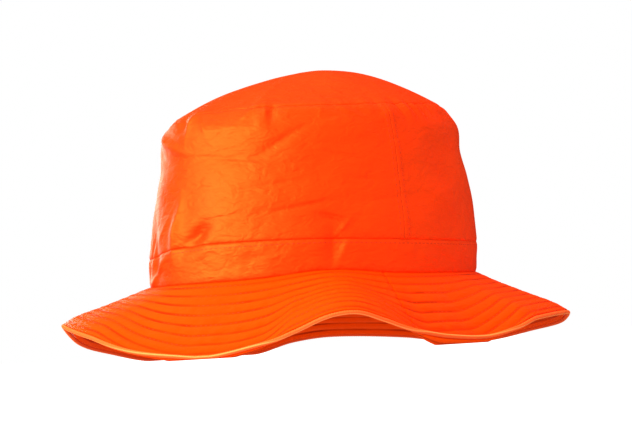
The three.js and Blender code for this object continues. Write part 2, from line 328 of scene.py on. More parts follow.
@dataclass(frozen=True)
class Hang:
    """How the cloth hangs, in millimetres, degrees and shares."""

    dome_rise: float = 24.6  # of the top's centre above its seam
    dome_skew: float = 0.27  # how much fuller the dome is where the crown leans, as a share
    dome_roundness: float = 1.9  # power of the dome's curve, where 2 is a parabola
    steepest_droop: float = 48.0  # of the brim, where it just reaches the floor
    fold_depth: float = 5.0  # what a depth of 1 stands for in FOLDS
    crease_depth: float = 8.0  # and in CREASES
    lean_side: float = 58.0  # the angle towards which the crown leans
    lean_reach: float = 2.5
    tip_arch: float = 1.6  # how high the brim arches between its seam and its edge
    arch_reach: float = 0.8  # share of the brim's width where that arch is highest
    foot_reach: float = 0.86  # share of the brim's width where a foot rests
    pressed: float = 0.5  # how much the cloth flattens where it rests
    calm_middle: float = 0.5  # share of the top's radius inside which its folds die away
    seam_hold: int = 8  # the power of the radius by which they die away at the seam


def column(rows: Sequence[NamedTuple], name: str) -> np.ndarray:
    """One named column of a table, as an array."""
    return np.array([getattr(row, name) for row in rows], float)


def smooth(
    keys: np.ndarray, values: np.ndarray, at: np.ndarray, period: float = 0.0
) -> np.ndarray:
    """Follows a smooth curve through points: each span is a cubic with the mean slope at each end.

    Args:
        keys: where the points lie, in rising order.
        values: the curve's value at each key.
        at: where the curve is wanted.
        period: the length after which the curve repeats, or 0 for an open curve.

    Returns:
        The curve's value at each place.
    """
    if period:
        keys = np.concatenate((keys[-1:] - period, keys, keys[:2] + period))
        values = np.concatenate((values[-1:], values, values[:2]))
        at = keys[1] + (at - keys[1]) % period
    else:
        keys = np.concatenate((keys[:1], keys, keys[-1:]))
        values = np.concatenate((values[:1], values, values[-1:]))
    i = np.clip(np.searchsorted(keys, at, side="right") - 1, 1, len(keys) - 3)
    span = keys[i + 1] - keys[i]
    slope_in = (values[i + 1] - values[i - 1]) / (keys[i + 1] - keys[i - 1]) * span
    slope_out = (values[i + 2] - values[i]) / (keys[i + 2] - keys[i]) * span
    t = (at - keys[i]) / span
    rise = (3 - 2 * t) * t * t
    level = values[i] + (values[i + 1] - values[i]) * rise
    return level + (t - 1) ** 2 * t * slope_in + (t - 1) * t * t * slope_out


def smoothstep(value: np.ndarray, low: float, high: float) -> np.ndarray:
    """Rises from 0 at low to 1 at high, level at both ends."""
    t = np.clip((value - low) / (high - low), 0, 1)
    return t * t * (3 - 2 * t)


def ditch(distance: np.ndarray, width: float) -> np.ndarray:
    """A bell curve: 1 on a line and near 0 at twice the width from it."""
    return np.exp(-((distance / width) ** 2))


def turned(degrees: np.ndarray, period: float = 360.0) -> np.ndarray:
    """Brings angle differences into half a period to either side of 0."""
    return (degrees + period / 2) % period - period / 2


def folded(folds: Sequence[Fold], angle: np.ndarray, height: np.ndarray) -> np.ndarray:
    """How far folds stand out, as a share of the fold depth.

    Each fold is its depth times a bell curve across it and a bell curve along it. Across a sharp
    fold the curve falls off exponentially from its crest instead.

    Args:
        folds: rows of the fold table.
        angle: degrees about +Z.
        height: height on the draped surface.

    Returns:
        The sum of all folds at each place.
    """
    out = np.zeros(np.broadcast(angle, height).shape)
    for fold in folds:
        up = height - fold.height
        aside = turned(angle - fold.angle - fold.slant * up) / fold.spread
        across = -np.abs(aside) if fold.edge is Edge.SHARP else -(aside**2)
        out += fold.depth * np.exp(across - (up / fold.reach) ** 2)
    return out


@dataclass(frozen=True)
class Unevenness:
    """Gentle seeded unevenness: random values on a lattice, joined by smooth steps.

    The lattice closes on itself round the hat.
    """

    around: int
    along: int
    seed: int

    @cached_property
    def lattice(self) -> np.ndarray:
        """Random values from -1 to 1, a row for each step along."""
        chance = np.random.default_rng(self.seed)
        return chance.uniform(-1, 1, (self.along + 2, self.around))

    def at(self, angle: np.ndarray, share: np.ndarray) -> np.ndarray:
        """Blends the four lattice values round each place.

        Args:
            angle: degrees about +Z.
            share: how far along the piece, from 0 to 1.

        Returns:
            Values from -1 to 1.
        """
        x = (angle / 360 % 1) * self.around
        y = np.clip(share, 0, 1) * self.along
        column_at, row_at = np.floor(x).astype(int), np.floor(y).astype(int)
        fx, fy = smoothstep(x - column_at, 0, 1), smoothstep(y - row_at, 0, 1)
        left, right = column_at % self.around, (column_at + 1) % self.around
        low = self.lattice[row_at, left] * (1 - fx) + self.lattice[row_at, right] * fx
        high = self.lattice[row_at + 1, left] * (1 - fx) + self.lattice[row_at + 1, right] * fx
        return low * (1 - fy) + high * fy


def in_plane(radius: np.ndarray, angle: np.ndarray, z: np.ndarray) -> np.ndarray:
    """Points at a radius, an angle in degrees and a level."""
    turn = np.radians(angle)
    return np.stack((radius * np.cos(turn), radius * np.sin(turn), z + 0 * radius), -1)


@dataclass(frozen=True)
class Drape:
    """The hat's one draped surface, its outer side, in millimetres."""

    cut: Cut = field(default_factory=Cut)
    hang: Hang = field(default_factory=Hang)

    @property
    def edge_rise(self) -> float:
        """The brim's upper side above its edge's underside."""
        return (self.cut.edge_roll + self.cut.brim_cloth) / 2 - self.hang.pressed

    @property
    def seam_level(self) -> float:
        """Mean level of the brim seam: the steepest stretch of brim just reaches the floor."""
        droop = math.sin(math.radians(self.hang.steepest_droop))
        return self.edge_rise + self.cut.brim_width * droop

    @property
    def lean(self) -> np.ndarray:
        """How far the top's centre leans aside, along X and Y."""
        side = math.radians(self.hang.lean_side)
        return self.hang.lean_reach * np.array((math.cos(side), math.sin(side)))

    def seam_z(self, seam: Seam, angle: np.ndarray) -> np.ndarray:
        """Level of a seam: its mean level and how far it strays there.

        Args:
            seam: which of the seams.
            angle: degrees about +Z.

        Returns:
            Levels in millimetres.
        """
        above = {Seam.BRIM: 0.0, Seam.BAND: self.cut.band_width, Seam.TOP: self.cut.crown_depth}
        levels = column(SEAM_LEVELS, seam.value)
        stray = smooth(column(SEAM_LEVELS, "angle"), levels, angle, 360)
        return self.seam_level + above[seam] + stray * self.cut.band_width

    def oval(self, angle: np.ndarray) -> np.ndarray:
        """Radius of the oval head opening: an ellipse, the product of its half axes over its width.

        Args:
            angle: degrees about +Z.

        Returns:
            Radii in millimetres.
        """
        half_width, half_length = self.cut.head_width / 2, self.cut.head_length / 2
        turn = np.radians(angle)
        wide = np.hypot(half_length * np.cos(turn), half_width * np.sin(turn))
        return half_width * half_length / wide

    def section(self, name: str, height: np.ndarray) -> np.ndarray:
        """A column of the wall's sections, followed smoothly."""
        return smooth(column(CROWN_SECTIONS, "height"), column(CROWN_SECTIONS, name), height)

    def rim(self, name: str, angle: np.ndarray) -> np.ndarray:
        """A column of the rim table, followed smoothly and kept at 0 or above."""
        return np.maximum(smooth(column(RIM, "angle"), column(RIM, name), angle, 360), 0)

    def wall(self, angle: np.ndarray, height: np.ndarray) -> np.ndarray:
        """The band and the crown's wall.

        The oval grows or shrinks with the section table and takes the folds, the whole leans to
        one side, and each point lies between the seams below and above it.

        Args:
            angle: degrees about +Z.
            height: from 0 at the brim seam to 1 at the top seam.

        Returns:
            Points in millimetres.
        """
        out = folded(FOLDS, angle, height) * self.hang.fold_depth
        radius = self.oval(angle) * self.section("radius", height) + out
        brim, band, top = (self.seam_z(seam, angle) for seam in Seam)
        in_band = height < self.cut.band_top
        low, high = np.where(in_band, brim, band), np.where(in_band, band, top)
        above = (height - self.cut.band_top) / (1 - self.cut.band_top)
        share = np.where(in_band, height / self.cut.band_top, above)
        points = in_plane(radius, angle, low + (high - low) * share)
        points[..., :2] += self.section("lean", height)[..., None] * self.lean
        return points

    def top(self, angle: np.ndarray, share: np.ndarray) -> np.ndarray:
        """The domed top: a rounded parabola, fuller on the side that the crown leans to.

        Its border follows the top seam, and the seam's stray dies away with the squared radius.

        Args:
            angle: degrees about +Z.
            share: from 0 at the centre to 1 at the top seam.

        Returns:
            Points in millimetres.
        """
        rim = self.wall(angle, np.ones_like(share))
        level = self.seam_level + self.cut.crown_depth
        side = np.cos(np.radians(angle - self.hang.lean_side))
        skew = self.hang.dome_skew * share * side * (1 - share**2) ** 2
        fold = folded(FOLDS, angle, 2 - share) * self.hang.fold_depth
        fold *= smoothstep(share, 0, self.hang.calm_middle) * (1 - share**self.hang.seam_hold)
        dome = self.hang.dome_rise * (1 - share**self.hang.dome_roundness + skew)
        z = level + (rim[..., 2] - level) * share**2 + dome + fold
        flat = self.lean + (rim[..., :2] - self.lean) * share[..., None]
        return np.concatenate((flat, z[..., None]), -1)

    def foot_dip(self, reach: np.ndarray) -> np.ndarray:
        """How far a foot has come down: half a wave to where it rests, then a quarter wave up.

        Args:
            reach: from 0 at the brim seam to 1 at the edge.

        Returns:
            Shares from 0 to 1.
        """
        rest = self.hang.foot_reach
        falling = (1 - np.cos(np.pi * reach / rest)) / 2
        rising = np.cos(np.pi / 2 * (reach - rest) / (1 - rest))
        return np.where(reach < rest, falling, rising)

    def arch(self, reach: np.ndarray) -> np.ndarray:
        """Share of the tip's arch: a power of the reach times what is left, scaled to peak at 1.

        Args:
            reach: from 0 at the brim seam to 1 at the edge.

        Returns:
            Shares: 0 at both ends and 1 at arch_reach.
        """
        peak = self.hang.arch_reach
        power = peak / (1 - peak)
        return (reach / peak) ** power * (1 - reach) / (1 - peak)

    def brim(self, angle: np.ndarray, reach: np.ndarray) -> np.ndarray:
        """The upper side of the brim, which keeps its width and so reaches out less where it drops.

        It falls straight from the seam to the edge under a low arch, and at a foot it dips to the
        floor instead.

        Args:
            angle: degrees about +Z.
            reach: from 0 at the brim seam to 1 at the edge.

        Returns:
            Points in millimetres.
        """
        seam_z = self.seam_z(Seam.BRIM, angle)
        drop = seam_z - self.edge_rise - self.rim("lift", angle) * self.seam_level
        slope = self.cut.brim_width * self.rim("width", angle)
        across = np.sqrt(slope**2 - drop**2)
        rest = seam_z - drop * self.hang.foot_reach - (self.cut.brim_cloth - self.hang.pressed)
        arch = self.hang.tip_arch * self.arch(reach)
        dip = np.maximum(rest, 0) * self.foot_dip(reach) + arch
        z = seam_z - drop * reach + arch - np.minimum(self.rim("foot", angle), 1) * dip
        radius = self.oval(angle) * CROWN_SECTIONS[0].radius + across * reach
        return in_plane(radius, angle, z)

    def cloth(self, angle: np.ndarray, height: np.ndarray) -> np.ndarray:
        """Points on the outer side of the cloth, on whichever part the height lies.

        Args:
            angle: degrees about +Z.
            height: from -1 at the brim's edge to 2 at the centre of the top.

        Returns:
            Points in millimetres.
        """
        angle, height = np.broadcast_arrays(np.asarray(angle, float), np.asarray(height, float))
        points = np.empty(angle.shape + (3,))
        on_brim, on_top = height < 0, height > 1
        on_wall = ~(on_brim | on_top)
        points[on_brim] = self.brim(angle[on_brim], -height[on_brim])
        points[on_wall] = self.wall(angle[on_wall], height[on_wall])
        points[on_top] = self.top(angle[on_top], np.maximum(2 - height[on_top], 0))
        return points

    def normal(self, angle: np.ndarray, height: np.ndarray) -> np.ndarray:
        """Outward unit vectors: the cross product of two short steps, round the hat and up it.

        Args:
            angle: degrees about +Z.
            height: height on the draped surface.

        Returns:
            A unit vector for each place, straight up where the steps span no area.
        """
        around = self.cloth(angle + ANGLE_STEP, height) - self.cloth(angle - ANGLE_STEP, height)
        onward = self.cloth(angle, height + HEIGHT_STEP) - self.cloth(angle, height - HEIGHT_STEP)
        normal = np.cross(around, onward)
        length = np.linalg.norm(normal, axis=-1, keepdims=True)
        straight_up = np.array((0.0, 0.0, 1.0))
        return np.where(length > 0, normal / np.where(length > 0, length, 1), straight_up)


def strip(first: np.ndarray, second: np.ndarray) -> np.ndarray:
    """Quads between two rows of places, or between two stacks of rows.

    Args:
        first: places along the first row, with the outer side on the left of the way along.
        second: places along the next row.

    Returns:
        A row of four corners for each quad.
    """
    corners = (first[..., :-1], first[..., 1:], second[..., 1:], second[..., :-1])
    return np.stack(corners, -1).reshape(-1, 4)


@dataclass
class Sewn:
    """A mesh in the making: points, quads, pattern coordinates and the places that are one."""

    points: np.ndarray
    quads: np.ndarray
    pattern: np.ndarray
    same: np.ndarray
    inside: int = 0  # how many quads at the end of the list are the inner side

    def to_object(
        self, name: str, shift: np.ndarray, finishes: Sequence[bpy.types.Material]
    ) -> bpy.types.Object:
        """Makes the object, with its place in its mesh and its pattern coordinates as a UV map.

        Args:
            name: the piece's name.
            shift: what is added to every point, in millimetres.
            finishes: the outer material, and the inner one if it differs.

        Returns:
            The new object, linked to the scene.
        """
        used, corners = np.unique(self.same[self.quads], return_inverse=True)
        mesh = bpy.data.meshes.new(name)
        mesh.vertices.add(len(used))
        mesh.vertices.foreach_set("co", ((self.points[used] + shift) * MM).ravel())
        mesh.loops.add(self.quads.size)
        mesh.loops.foreach_set("vertex_index", corners.ravel().astype(np.int32))
        mesh.polygons.add(len(self.quads))
        mesh.polygons.foreach_set("loop_start", np.arange(0, self.quads.size, 4, dtype=np.int32))
        for finish in finishes:
            mesh.materials.append(finish)
        lining = np.zeros(len(self.quads), np.int32)
        lining[len(lining) - self.inside :] = len(finishes) - 1
        mesh.polygons.foreach_set("material_index", lining)
        mesh.uv_layers.new(name=PATTERN).data.foreach_set("uv", self.pattern[self.quads].ravel())
        mesh.update(calc_edges=True)
        mesh.shade_smooth()
        piece = bpy.data.objects.new(name, mesh)
        bpy.context.scene.collection.objects.link(piece)
        return piece


def sew_wall(outer: np.ndarray, inner: np.ndarray, pattern: np.ndarray, closed: bool) -> Sewn:
    """Closes two grids of points into one wall of cloth.

    Args:
        outer: points of the outer side, a row for each height from low to high.
        inner: points of the inner side, on the same grid.
        pattern: pattern coordinates on the same grid.
        closed: the last column is the first one again.

    Returns:
        The wall, with its borders closed.
    """
    places = np.arange(2 * outer.shape[0] * outer.shape[1]).reshape(2, *outer.shape[:2])
    out, within = places
    quads = [strip(out[:-1], out[1:]), strip(within[0], out[0]), strip(out[-1], within[-1])]
    same = places.copy()
    if closed:
        same[..., -1] = same[..., 0]
    else:
        quads += [strip(out[:, 0], within[:, 0]), strip(within[:, -1], out[:, -1])]
    lining = strip(within[1:], within[:-1])
    return Sewn(
        points=np.stack((outer, inner)).reshape(-1, 3),
        quads=np.concatenate((*quads, lining)),
        pattern=np.stack((pattern, pattern)).reshape(-1, 2),
        same=same.ravel(),
        inside=len(lining),
    )


def sew_tube(points: np.ndarray, pattern: np.ndarray) -> Sewn:
    """Closes a grid into a ring-shaped tube: its last row and column are the first ones again.

    Args:
        points: points of the tube's surface, a row for each turn round it.
        pattern: pattern coordinates on the same grid.

    Returns:
        The tube, closed both ways.
    """
    places = np.arange(points.shape[0] * points.shape[1]).reshape(points.shape[:2])
    same = places.copy()
    same[-1] = same[0]
    same[:, -1] = same[:, 0]
    quads = strip(places[:-1], places[1:])
    return Sewn(points.reshape(-1, 3), quads, pattern.reshape(-1, 2), same.ravel())


def sew_threads(
    path: np.ndarray, aside: np.ndarray, up: np.ndarray, radius: np.ndarray
) -> Sewn:
    """Short threads, each a four-sided tube along its path with a flat end on each side.

    Args:
        path: centre lines, as threads by stations by 3.
        aside: unit vectors across each thread, at its stations.
        up: unit vectors away from the cloth.
        radius: half the thread's width at each station.

    Returns:
        All the threads as one mesh.
    """
    count, stations = path.shape[:2]
    turn = np.radians(np.array((-135.0, -45.0, 45.0, 135.0)))
    round_off = np.cos(turn)[:, None] * aside[:, :, None] + np.sin(turn)[:, None] * up[:, :, None]
    points = path[:, :, None] + round_off * radius[:, None, None]
    sides = len(turn)
    places = np.arange(points.size // 3).reshape(count, stations, sides)
    ringed = np.concatenate((places, places[..., :1]), -1)
    first, last = places[:, 0, ::-1], places[:, -1]
    quads = np.concatenate((strip(ringed[:, :-1], ringed[:, 1:]), first, last))
    length = np.linalg.norm(path - path[:, :1], axis=-1)
    along = np.repeat(length[..., None], sides, -1)
    across = np.broadcast_to(np.arange(sides) / sides, along.shape)
    pattern = np.stack((along, across), -1).reshape(-1, 2)
    return Sewn(points.reshape(-1, 3), quads, pattern, places.ravel())


def join(meshes: Sequence[Sewn]) -> Sewn:
    """Puts several meshes in the making together as one.

    Args:
        meshes: meshes without an inner side.

    Returns:
        One mesh, with the places of each counted on from the one before.
    """
    starts = np.cumsum([0] + [len(m.points) for m in meshes[:-1]])
    return Sewn(
        points=np.concatenate([m.points for m in meshes]),
        quads=np.concatenate([m.quads + s for m, s in zip(meshes, starts)]),
        pattern=np.concatenate([m.pattern for m in meshes]),
        same=np.concatenate([m.same + s for m, s in zip(meshes, starts)]),
    )


def from_hex(code: str) -> tuple[float, float, float, float]:
    """Turns an sRGB hex colour into a linear one.

    The sRGB curve is straight for dark shares, and above that a power of the share with an offset.

    Args:
        code: a hash and six hex digits.

    Returns:
        Linear red, green, blue and alpha.
    """
    shares = [int(code[i : i + 2], 16) / 255 for i in (1, 3, 5)]
    linear = [s / 12.92 if s <= 0.04045 else ((s + 0.055) / 1.055) ** 2.4 for s in shares]
    return (*linear, 1.0)


def add_node(
    tree: bpy.types.NodeTree,
    kind: str,
    values: dict[int | str, Any] | None = None,
    links: dict[int | str, bpy.types.NodeSocket] | None = None,
    **settings: Any,
) -> bpy.types.Node:
    """Adds a node with its settings, the values on its sockets and the links into it.

    Args:
        tree: the material's node tree.
        kind: the node's type name.
        values: values by socket.
        links: output sockets by the input socket that they feed.
        **settings: the node's own properties.

    Returns:
        The new node.
    """
    node = tree.nodes.new(kind)
    for name, value in settings.items():
        setattr(node, name, value)
    for socket, value in (values or {}).items():
        node.inputs[socket].default_value = value
    for socket, source in (links or {}).items():
        tree.links.new(source, node.inputs[socket])
    return node


def new_material(name: str) -> bpy.types.Material:
    """Makes a material with an empty node tree.

    Args:
        name: the material's name.

    Returns:
        The new material.
    """
    material = bpy.data.materials.new(name)
    material.use_nodes = True
    material.node_tree.nodes.clear()
    return material


def wave_scale(spacing: float) -> float:
    """Scale of a Wave texture whose bands lie a spacing apart, in the pattern's millimetres."""
    return 2 * math.pi / WAVE_TURN / spacing


@dataclass(frozen=True)
class CoatedTaffeta:
    """Nylon taffeta, woven plain and proofed with a smooth polyurethane coat on the face.

    The tight weave and the coat give a soft gloss that turns pale orange towards the light, over
    a red-orange that stays deep in shade. Handling leaves faint crumples.
    """

    name: str
    shade: str = "#ff3600"
    faded: str = "#ff4201"
    gloss: str = "#ffac48"
    roughness: float = 0.52
    specular: float = 1.0
    index: float = 1.8  # of refraction: a hard, shiny coat
    thread_spacing: float = 0.5  # drawn at twice the real 0.25 mm, so that it shows
    thread_depth: float = 0.012
    crumple_size: float = 9.0
    crumple_depth: float = 1.0
    crumple_squash: float = 2.0  # how much flatter than wide the crumples are
    blotch_size: float = 30.0
    gloss_spread: tuple[float, float] = (-0.06, 0.1)  # how the roughness strays
    row_spacing: float = 0.0  # between rows of quilting, if the cloth has them
    # painted shade laid along the ditches of the quilting
    row_painted_shade: str = "#b42a00"
    row_threshold: float = 0.75  # of the wave across the rows, above which the painted row shade shows
    row_strength: tuple[float, float] = (0.2, 0.9)  # of the painted row shade, at the faintest and the strongest places
    row_blotches: tuple[float, float] = (0.35, 0.65)  # the noise at those places

    def paint_row_shade(
        self,
        tree: bpy.types.NodeTree,
        cloth: bpy.types.NodeSocket,
        blotches: bpy.types.Node,
        colour: bpy.types.Node,
    ) -> bpy.types.Node:
        """Darkens the cloth with painted shade along the rows of quilting, where it is pulled
        tight, unevenly.

        Args:
            tree: the material's node tree.
            cloth: the pattern's coordinates.
            blotches: the noise that makes it uneven.
            colour: the node that mixes the cloth's colour.

        Returns:
            The node that mixes the colour with the painted shade.
        """
        faintest, strongest = self.row_strength
        low, high = self.row_blotches
        rows = add_node(
            tree,
            "ShaderNodeTexWave",
            {"Scale": wave_scale(self.row_spacing)},
            {"Vector": cloth},
            bands_direction="Y",
        )
        strength = add_node(
            tree,
            "ShaderNodeMapRange",
            {"From Min": low, "From Max": high, "To Min": faintest, "To Max": strongest},
            {"Value": blotches.outputs["Fac"]},
        )
        narrowed = add_node(
            tree,
            "ShaderNodeMapRange",
            {"From Min": self.row_threshold},
            {"Value": rows.outputs["Fac"], "To Max": strength.outputs["Result"]},
        )
        return add_node(
            tree,
            "ShaderNodeMix",
            {MIX_SECOND: from_hex(self.row_painted_shade)},
            {MIX_SHARE: narrowed.outputs["Result"], MIX_FIRST: colour.outputs[MIXED]},
            data_type="RGBA",
        )

    def material(self) -> bpy.types.Material:
        """Builds the node tree: blotched colour, painted shade along any quilting rows, uneven
        gloss, crumples and the weave.

        Returns:
            The material.
        """
        smoother, rougher = self.gloss_spread
        material = new_material(self.name)
        tree = material.node_tree
        place = add_node(tree, "ShaderNodeTexCoord").outputs["Object"]
        cloth = add_node(tree, "ShaderNodeUVMap", uv_map=PATTERN).outputs["UV"]
        blotches = add_node(
            tree,
            "ShaderNodeTexNoise",
            {"Scale": 1 / (self.blotch_size * MM), "Detail": 3.0, "Roughness": 0.55},
            {"Vector": place},
        )
        colour = add_node(
            tree,
            "ShaderNodeMix",
            {MIX_FIRST: from_hex(self.shade), MIX_SECOND: from_hex(self.faded)},
            {MIX_SHARE: blotches.outputs["Fac"]},
            data_type="RGBA",
        )
        # painted shade along the ditches of any quilting
        if self.row_spacing:
            colour = self.paint_row_shade(tree, cloth, blotches, colour)
        gloss = add_node(
            tree,
            "ShaderNodeMapRange",
            {"To Min": self.roughness + smoother, "To Max": self.roughness + rougher},
            {"Value": blotches.outputs["Fac"]},
        )
        squashed = add_node(
            tree,
            "ShaderNodeMapping",
            {"Scale": (1, 1, self.crumple_squash)},
            {"Vector": place},
        )
        crumple = add_node(
            tree,
            "ShaderNodeTexNoise",
            {"Scale": 1 / (self.crumple_size * MM), "Detail": 2.5, "Distortion": 0.6},
            {"Vector": squashed.outputs["Vector"]},
        )
        crumpled = add_node(
            tree,
            "ShaderNodeBump",
            {"Distance": self.crumple_depth * MM},
            {"Height": crumple.outputs["Fac"]},
        )
        normal = crumpled.outputs["Normal"]
        for direction in ("X", "Y"):
            threads = add_node(
                tree,
                "ShaderNodeTexWave",
                {"Scale": wave_scale(self.thread_spacing)},
                {"Vector": cloth},
                bands_direction=direction,
            )
            woven = add_node(
                tree,
                "ShaderNodeBump",
                {"Distance": self.thread_depth * MM},
                {"Height": threads.outputs["Fac"], "Normal": normal},
            )
            normal = woven.outputs["Normal"]
        shader = add_node(
            tree,
            "ShaderNodeBsdfPrincipled",
            {
                "IOR": self.index,
                "Specular IOR Level": self.specular,
                "Specular Tint": from_hex(self.gloss),
            },
            {
                "Base Color": colour.outputs[MIXED],
                "Roughness": gloss.outputs["Result"],
                "Normal": normal,
            },
        )
        add_node(
            tree, "ShaderNodeOutputMaterial", links={"Surface": shader.outputs["BSDF"]}
        )
        return material


@dataclass(frozen=True)
class SpunThread:
    """Polyester sewing thread, spun and dyed: matt, a little fuzzy, with a visible twist."""

    name: str
    colour: str
    # the darker tone, laid in the twist's grooves as painted shade
    shade: str
    roughness: float = 0.75
    sheen: float = 0.4
    twist_spacing: float = 0.5  # between two turns of its twist
    twist_depth: float = 0.05
    strand_spacing: float = 0.0  # between the strands along an overcast edge, if it has them
    # painted highlight along the ridges where the overcasting loops meet
    strand_highlight_colour: str = "#ff9850"
    strand_threshold: float = 0.8  # of the wave across the strands, above which a painted highlight line shows

    def strand_highlights(
        self, tree: bpy.types.NodeTree, cloth: bpy.types.NodeSocket, colour: bpy.types.Node
    ) -> bpy.types.Node:
        """Lightens the thread in narrow lines along the edge, where the overcasting loops meet:
        painted highlight for the light that these ridges catch.

        Args:
            tree: the material's node tree.
            cloth: the pattern's coordinates.
            colour: the node that mixes the thread's colour.

        Returns:
            The node that mixes in the painted highlight.
        """
        strands = add_node(
            tree,
            "ShaderNodeTexWave",
            {"Scale": wave_scale(self.strand_spacing)},
            {"Vector": cloth},
            bands_direction="Y",
        )
        narrowed = add_node(
            tree,
            "ShaderNodeMapRange",
            {"From Min": self.strand_threshold},
            {"Value": strands.outputs["Fac"]},
        )
        return add_node(
            tree,
            "ShaderNodeMix",
            {MIX_SECOND: from_hex(self.strand_highlight_colour)},
            {MIX_SHARE: narrowed.outputs["Result"], MIX_FIRST: colour.outputs[MIXED]},
            data_type="RGBA",
        )

    def material(self) -> bpy.types.Material:
        """Builds the node tree: two tones and a bump, both wound round the thread, with the darker
        tone as painted shade in the twist's grooves.

        Returns:
            The material.
        """
        material = new_material(self.name)
        tree = material.node_tree
        cloth = add_node(tree, "ShaderNodeUVMap", uv_map=PATTERN).outputs["UV"]
        twist = add_node(
            tree,
            "ShaderNodeTexWave",
            {"Scale": wave_scale(self.twist_spacing), "Distortion": 1.0},
            {"Vector": cloth},
            bands_direction="DIAGONAL",
        )
        # painted shade: the darker tone falls where the twist's bump dips
        colour = add_node(
            tree,
            "ShaderNodeMix",
            {MIX_FIRST: from_hex(self.shade), MIX_SECOND: from_hex(self.colour)},
            {MIX_SHARE: twist.outputs["Fac"]},
            data_type="RGBA",
        )
        # painted highlight lines along an overcast edge
        if self.strand_spacing:
            colour = self.strand_highlights(tree, cloth, colour)
        wound = add_node(
            tree,
            "ShaderNodeBump",
            {"Distance": self.twist_depth * MM},
            {"Height": twist.outputs["Fac"]},
        )
        shader = add_node(
            tree,
            "ShaderNodeBsdfPrincipled",
            {
                "Roughness": self.roughness,
                "Sheen Weight": self.sheen,
                "Sheen Tint": from_hex(self.colour),
            },
            {"Base Color": colour.outputs[MIXED], "Normal": wound.outputs["Normal"]},
        )
        add_node(
            tree, "ShaderNodeOutputMaterial", links={"Surface": shader.outputs["BSDF"]}
        )
        return material


@dataclass(frozen=True)
class LightTable:
    """An opal acrylic sheet, sanded matt and lit from below: it looks an even, shadowless white."""

    name: str = "floor_backlit_opal_acrylic"
    colour: str = "#808080"
    roughness: float = 0.9
    glow: float = 0.65  # what it sheds on the hat, where the camera sees 1

    def material(self) -> bpy.types.Material:
        """Builds the node tree: a matt shader that glows, and looks fully white to the camera.

        Returns:
            The material.
        """
        material = new_material(self.name)
        tree = material.node_tree
        ray = add_node(tree, "ShaderNodeLightPath")
        glow = add_node(
            tree,
            "ShaderNodeMapRange",
            {"To Min": self.glow},
            {"Value": ray.outputs["Is Camera Ray"]},
        )
        shader = add_node(
            tree,
            "ShaderNodeBsdfPrincipled",
            {
                "Base Color": from_hex(self.colour),
                "Roughness": self.roughness,
                "Specular IOR Level": 0.0,
                "Emission Color": from_hex(WHITE),
            },
            {"Emission Strength": glow.outputs["Result"]},
        )
        add_node(
            tree, "ShaderNodeOutputMaterial", links={"Surface": shader.outputs["BSDF"]}
        )
        return material


@dataclass
class Finishes:
    """The materials that the pieces share, each made once."""

    # The proofed face: a broad soft gloss that pales towards the light.
    shell: CoatedTaffeta = CoatedTaffeta("crown_coated_nylon_taffeta")
    # The same cloth pressed flat, a little lighter.
    band: CoatedTaffeta = CoatedTaffeta("band_coated_nylon_taffeta", shade="#ff3a00")
    # The same cloth broken up by the quilting: the coat hardly shines, and painted shade darkens
    # the rows.
    brim: CoatedTaffeta = CoatedTaffeta(
        "brim_quilted_nylon_taffeta",
        shade="#ff4600",
        faded="#ff5002",
        gloss="#ffa038",
        roughness=0.5,
        specular=0.12,
        index=1.5,
        crumple_size=6.0,
        crumple_depth=0.5,
        row_spacing=Cut().row_spacing,
    )
    # The brim's lower layer, painted more yellow than the upper one: painted light for the light
    # that the floor throws up on it.
    underside: CoatedTaffeta = replace(
        brim, name="underside_quilted_nylon_taffeta_painted_floor_light", shade="#ff5800", faded="#ff6404"
    )
    # The uncoated back of the cloth: duller and paler.
    lining: CoatedTaffeta = CoatedTaffeta(
        "lining_uncoated_taffeta_back",
        shade="#f07030",
        faded="#f47a38",
        roughness=0.6,
        specular=0.3,
        index=1.5,
    )
    # Fine sewing thread, close to the cloth's own colour, with painted shade in the grooves of its
    # twist.
    thread: SpunThread = SpunThread("stitches_spun_polyester", "#ee4a08", "#c83000")
    # Bulky thread wound side by side: a pale, matt edge, with painted highlight lines along it.
    overcast: SpunThread = SpunThread(
        "edge_overcast_polyester", "#ff7428", "#f05a14", strand_spacing=Cut().strand_spacing
    )

    @cached_property
    def made(self) -> dict[Finish, bpy.types.Material]:
        """Each finish's material."""
        return {finish: getattr(self, finish.value).material() for finish in Finish}


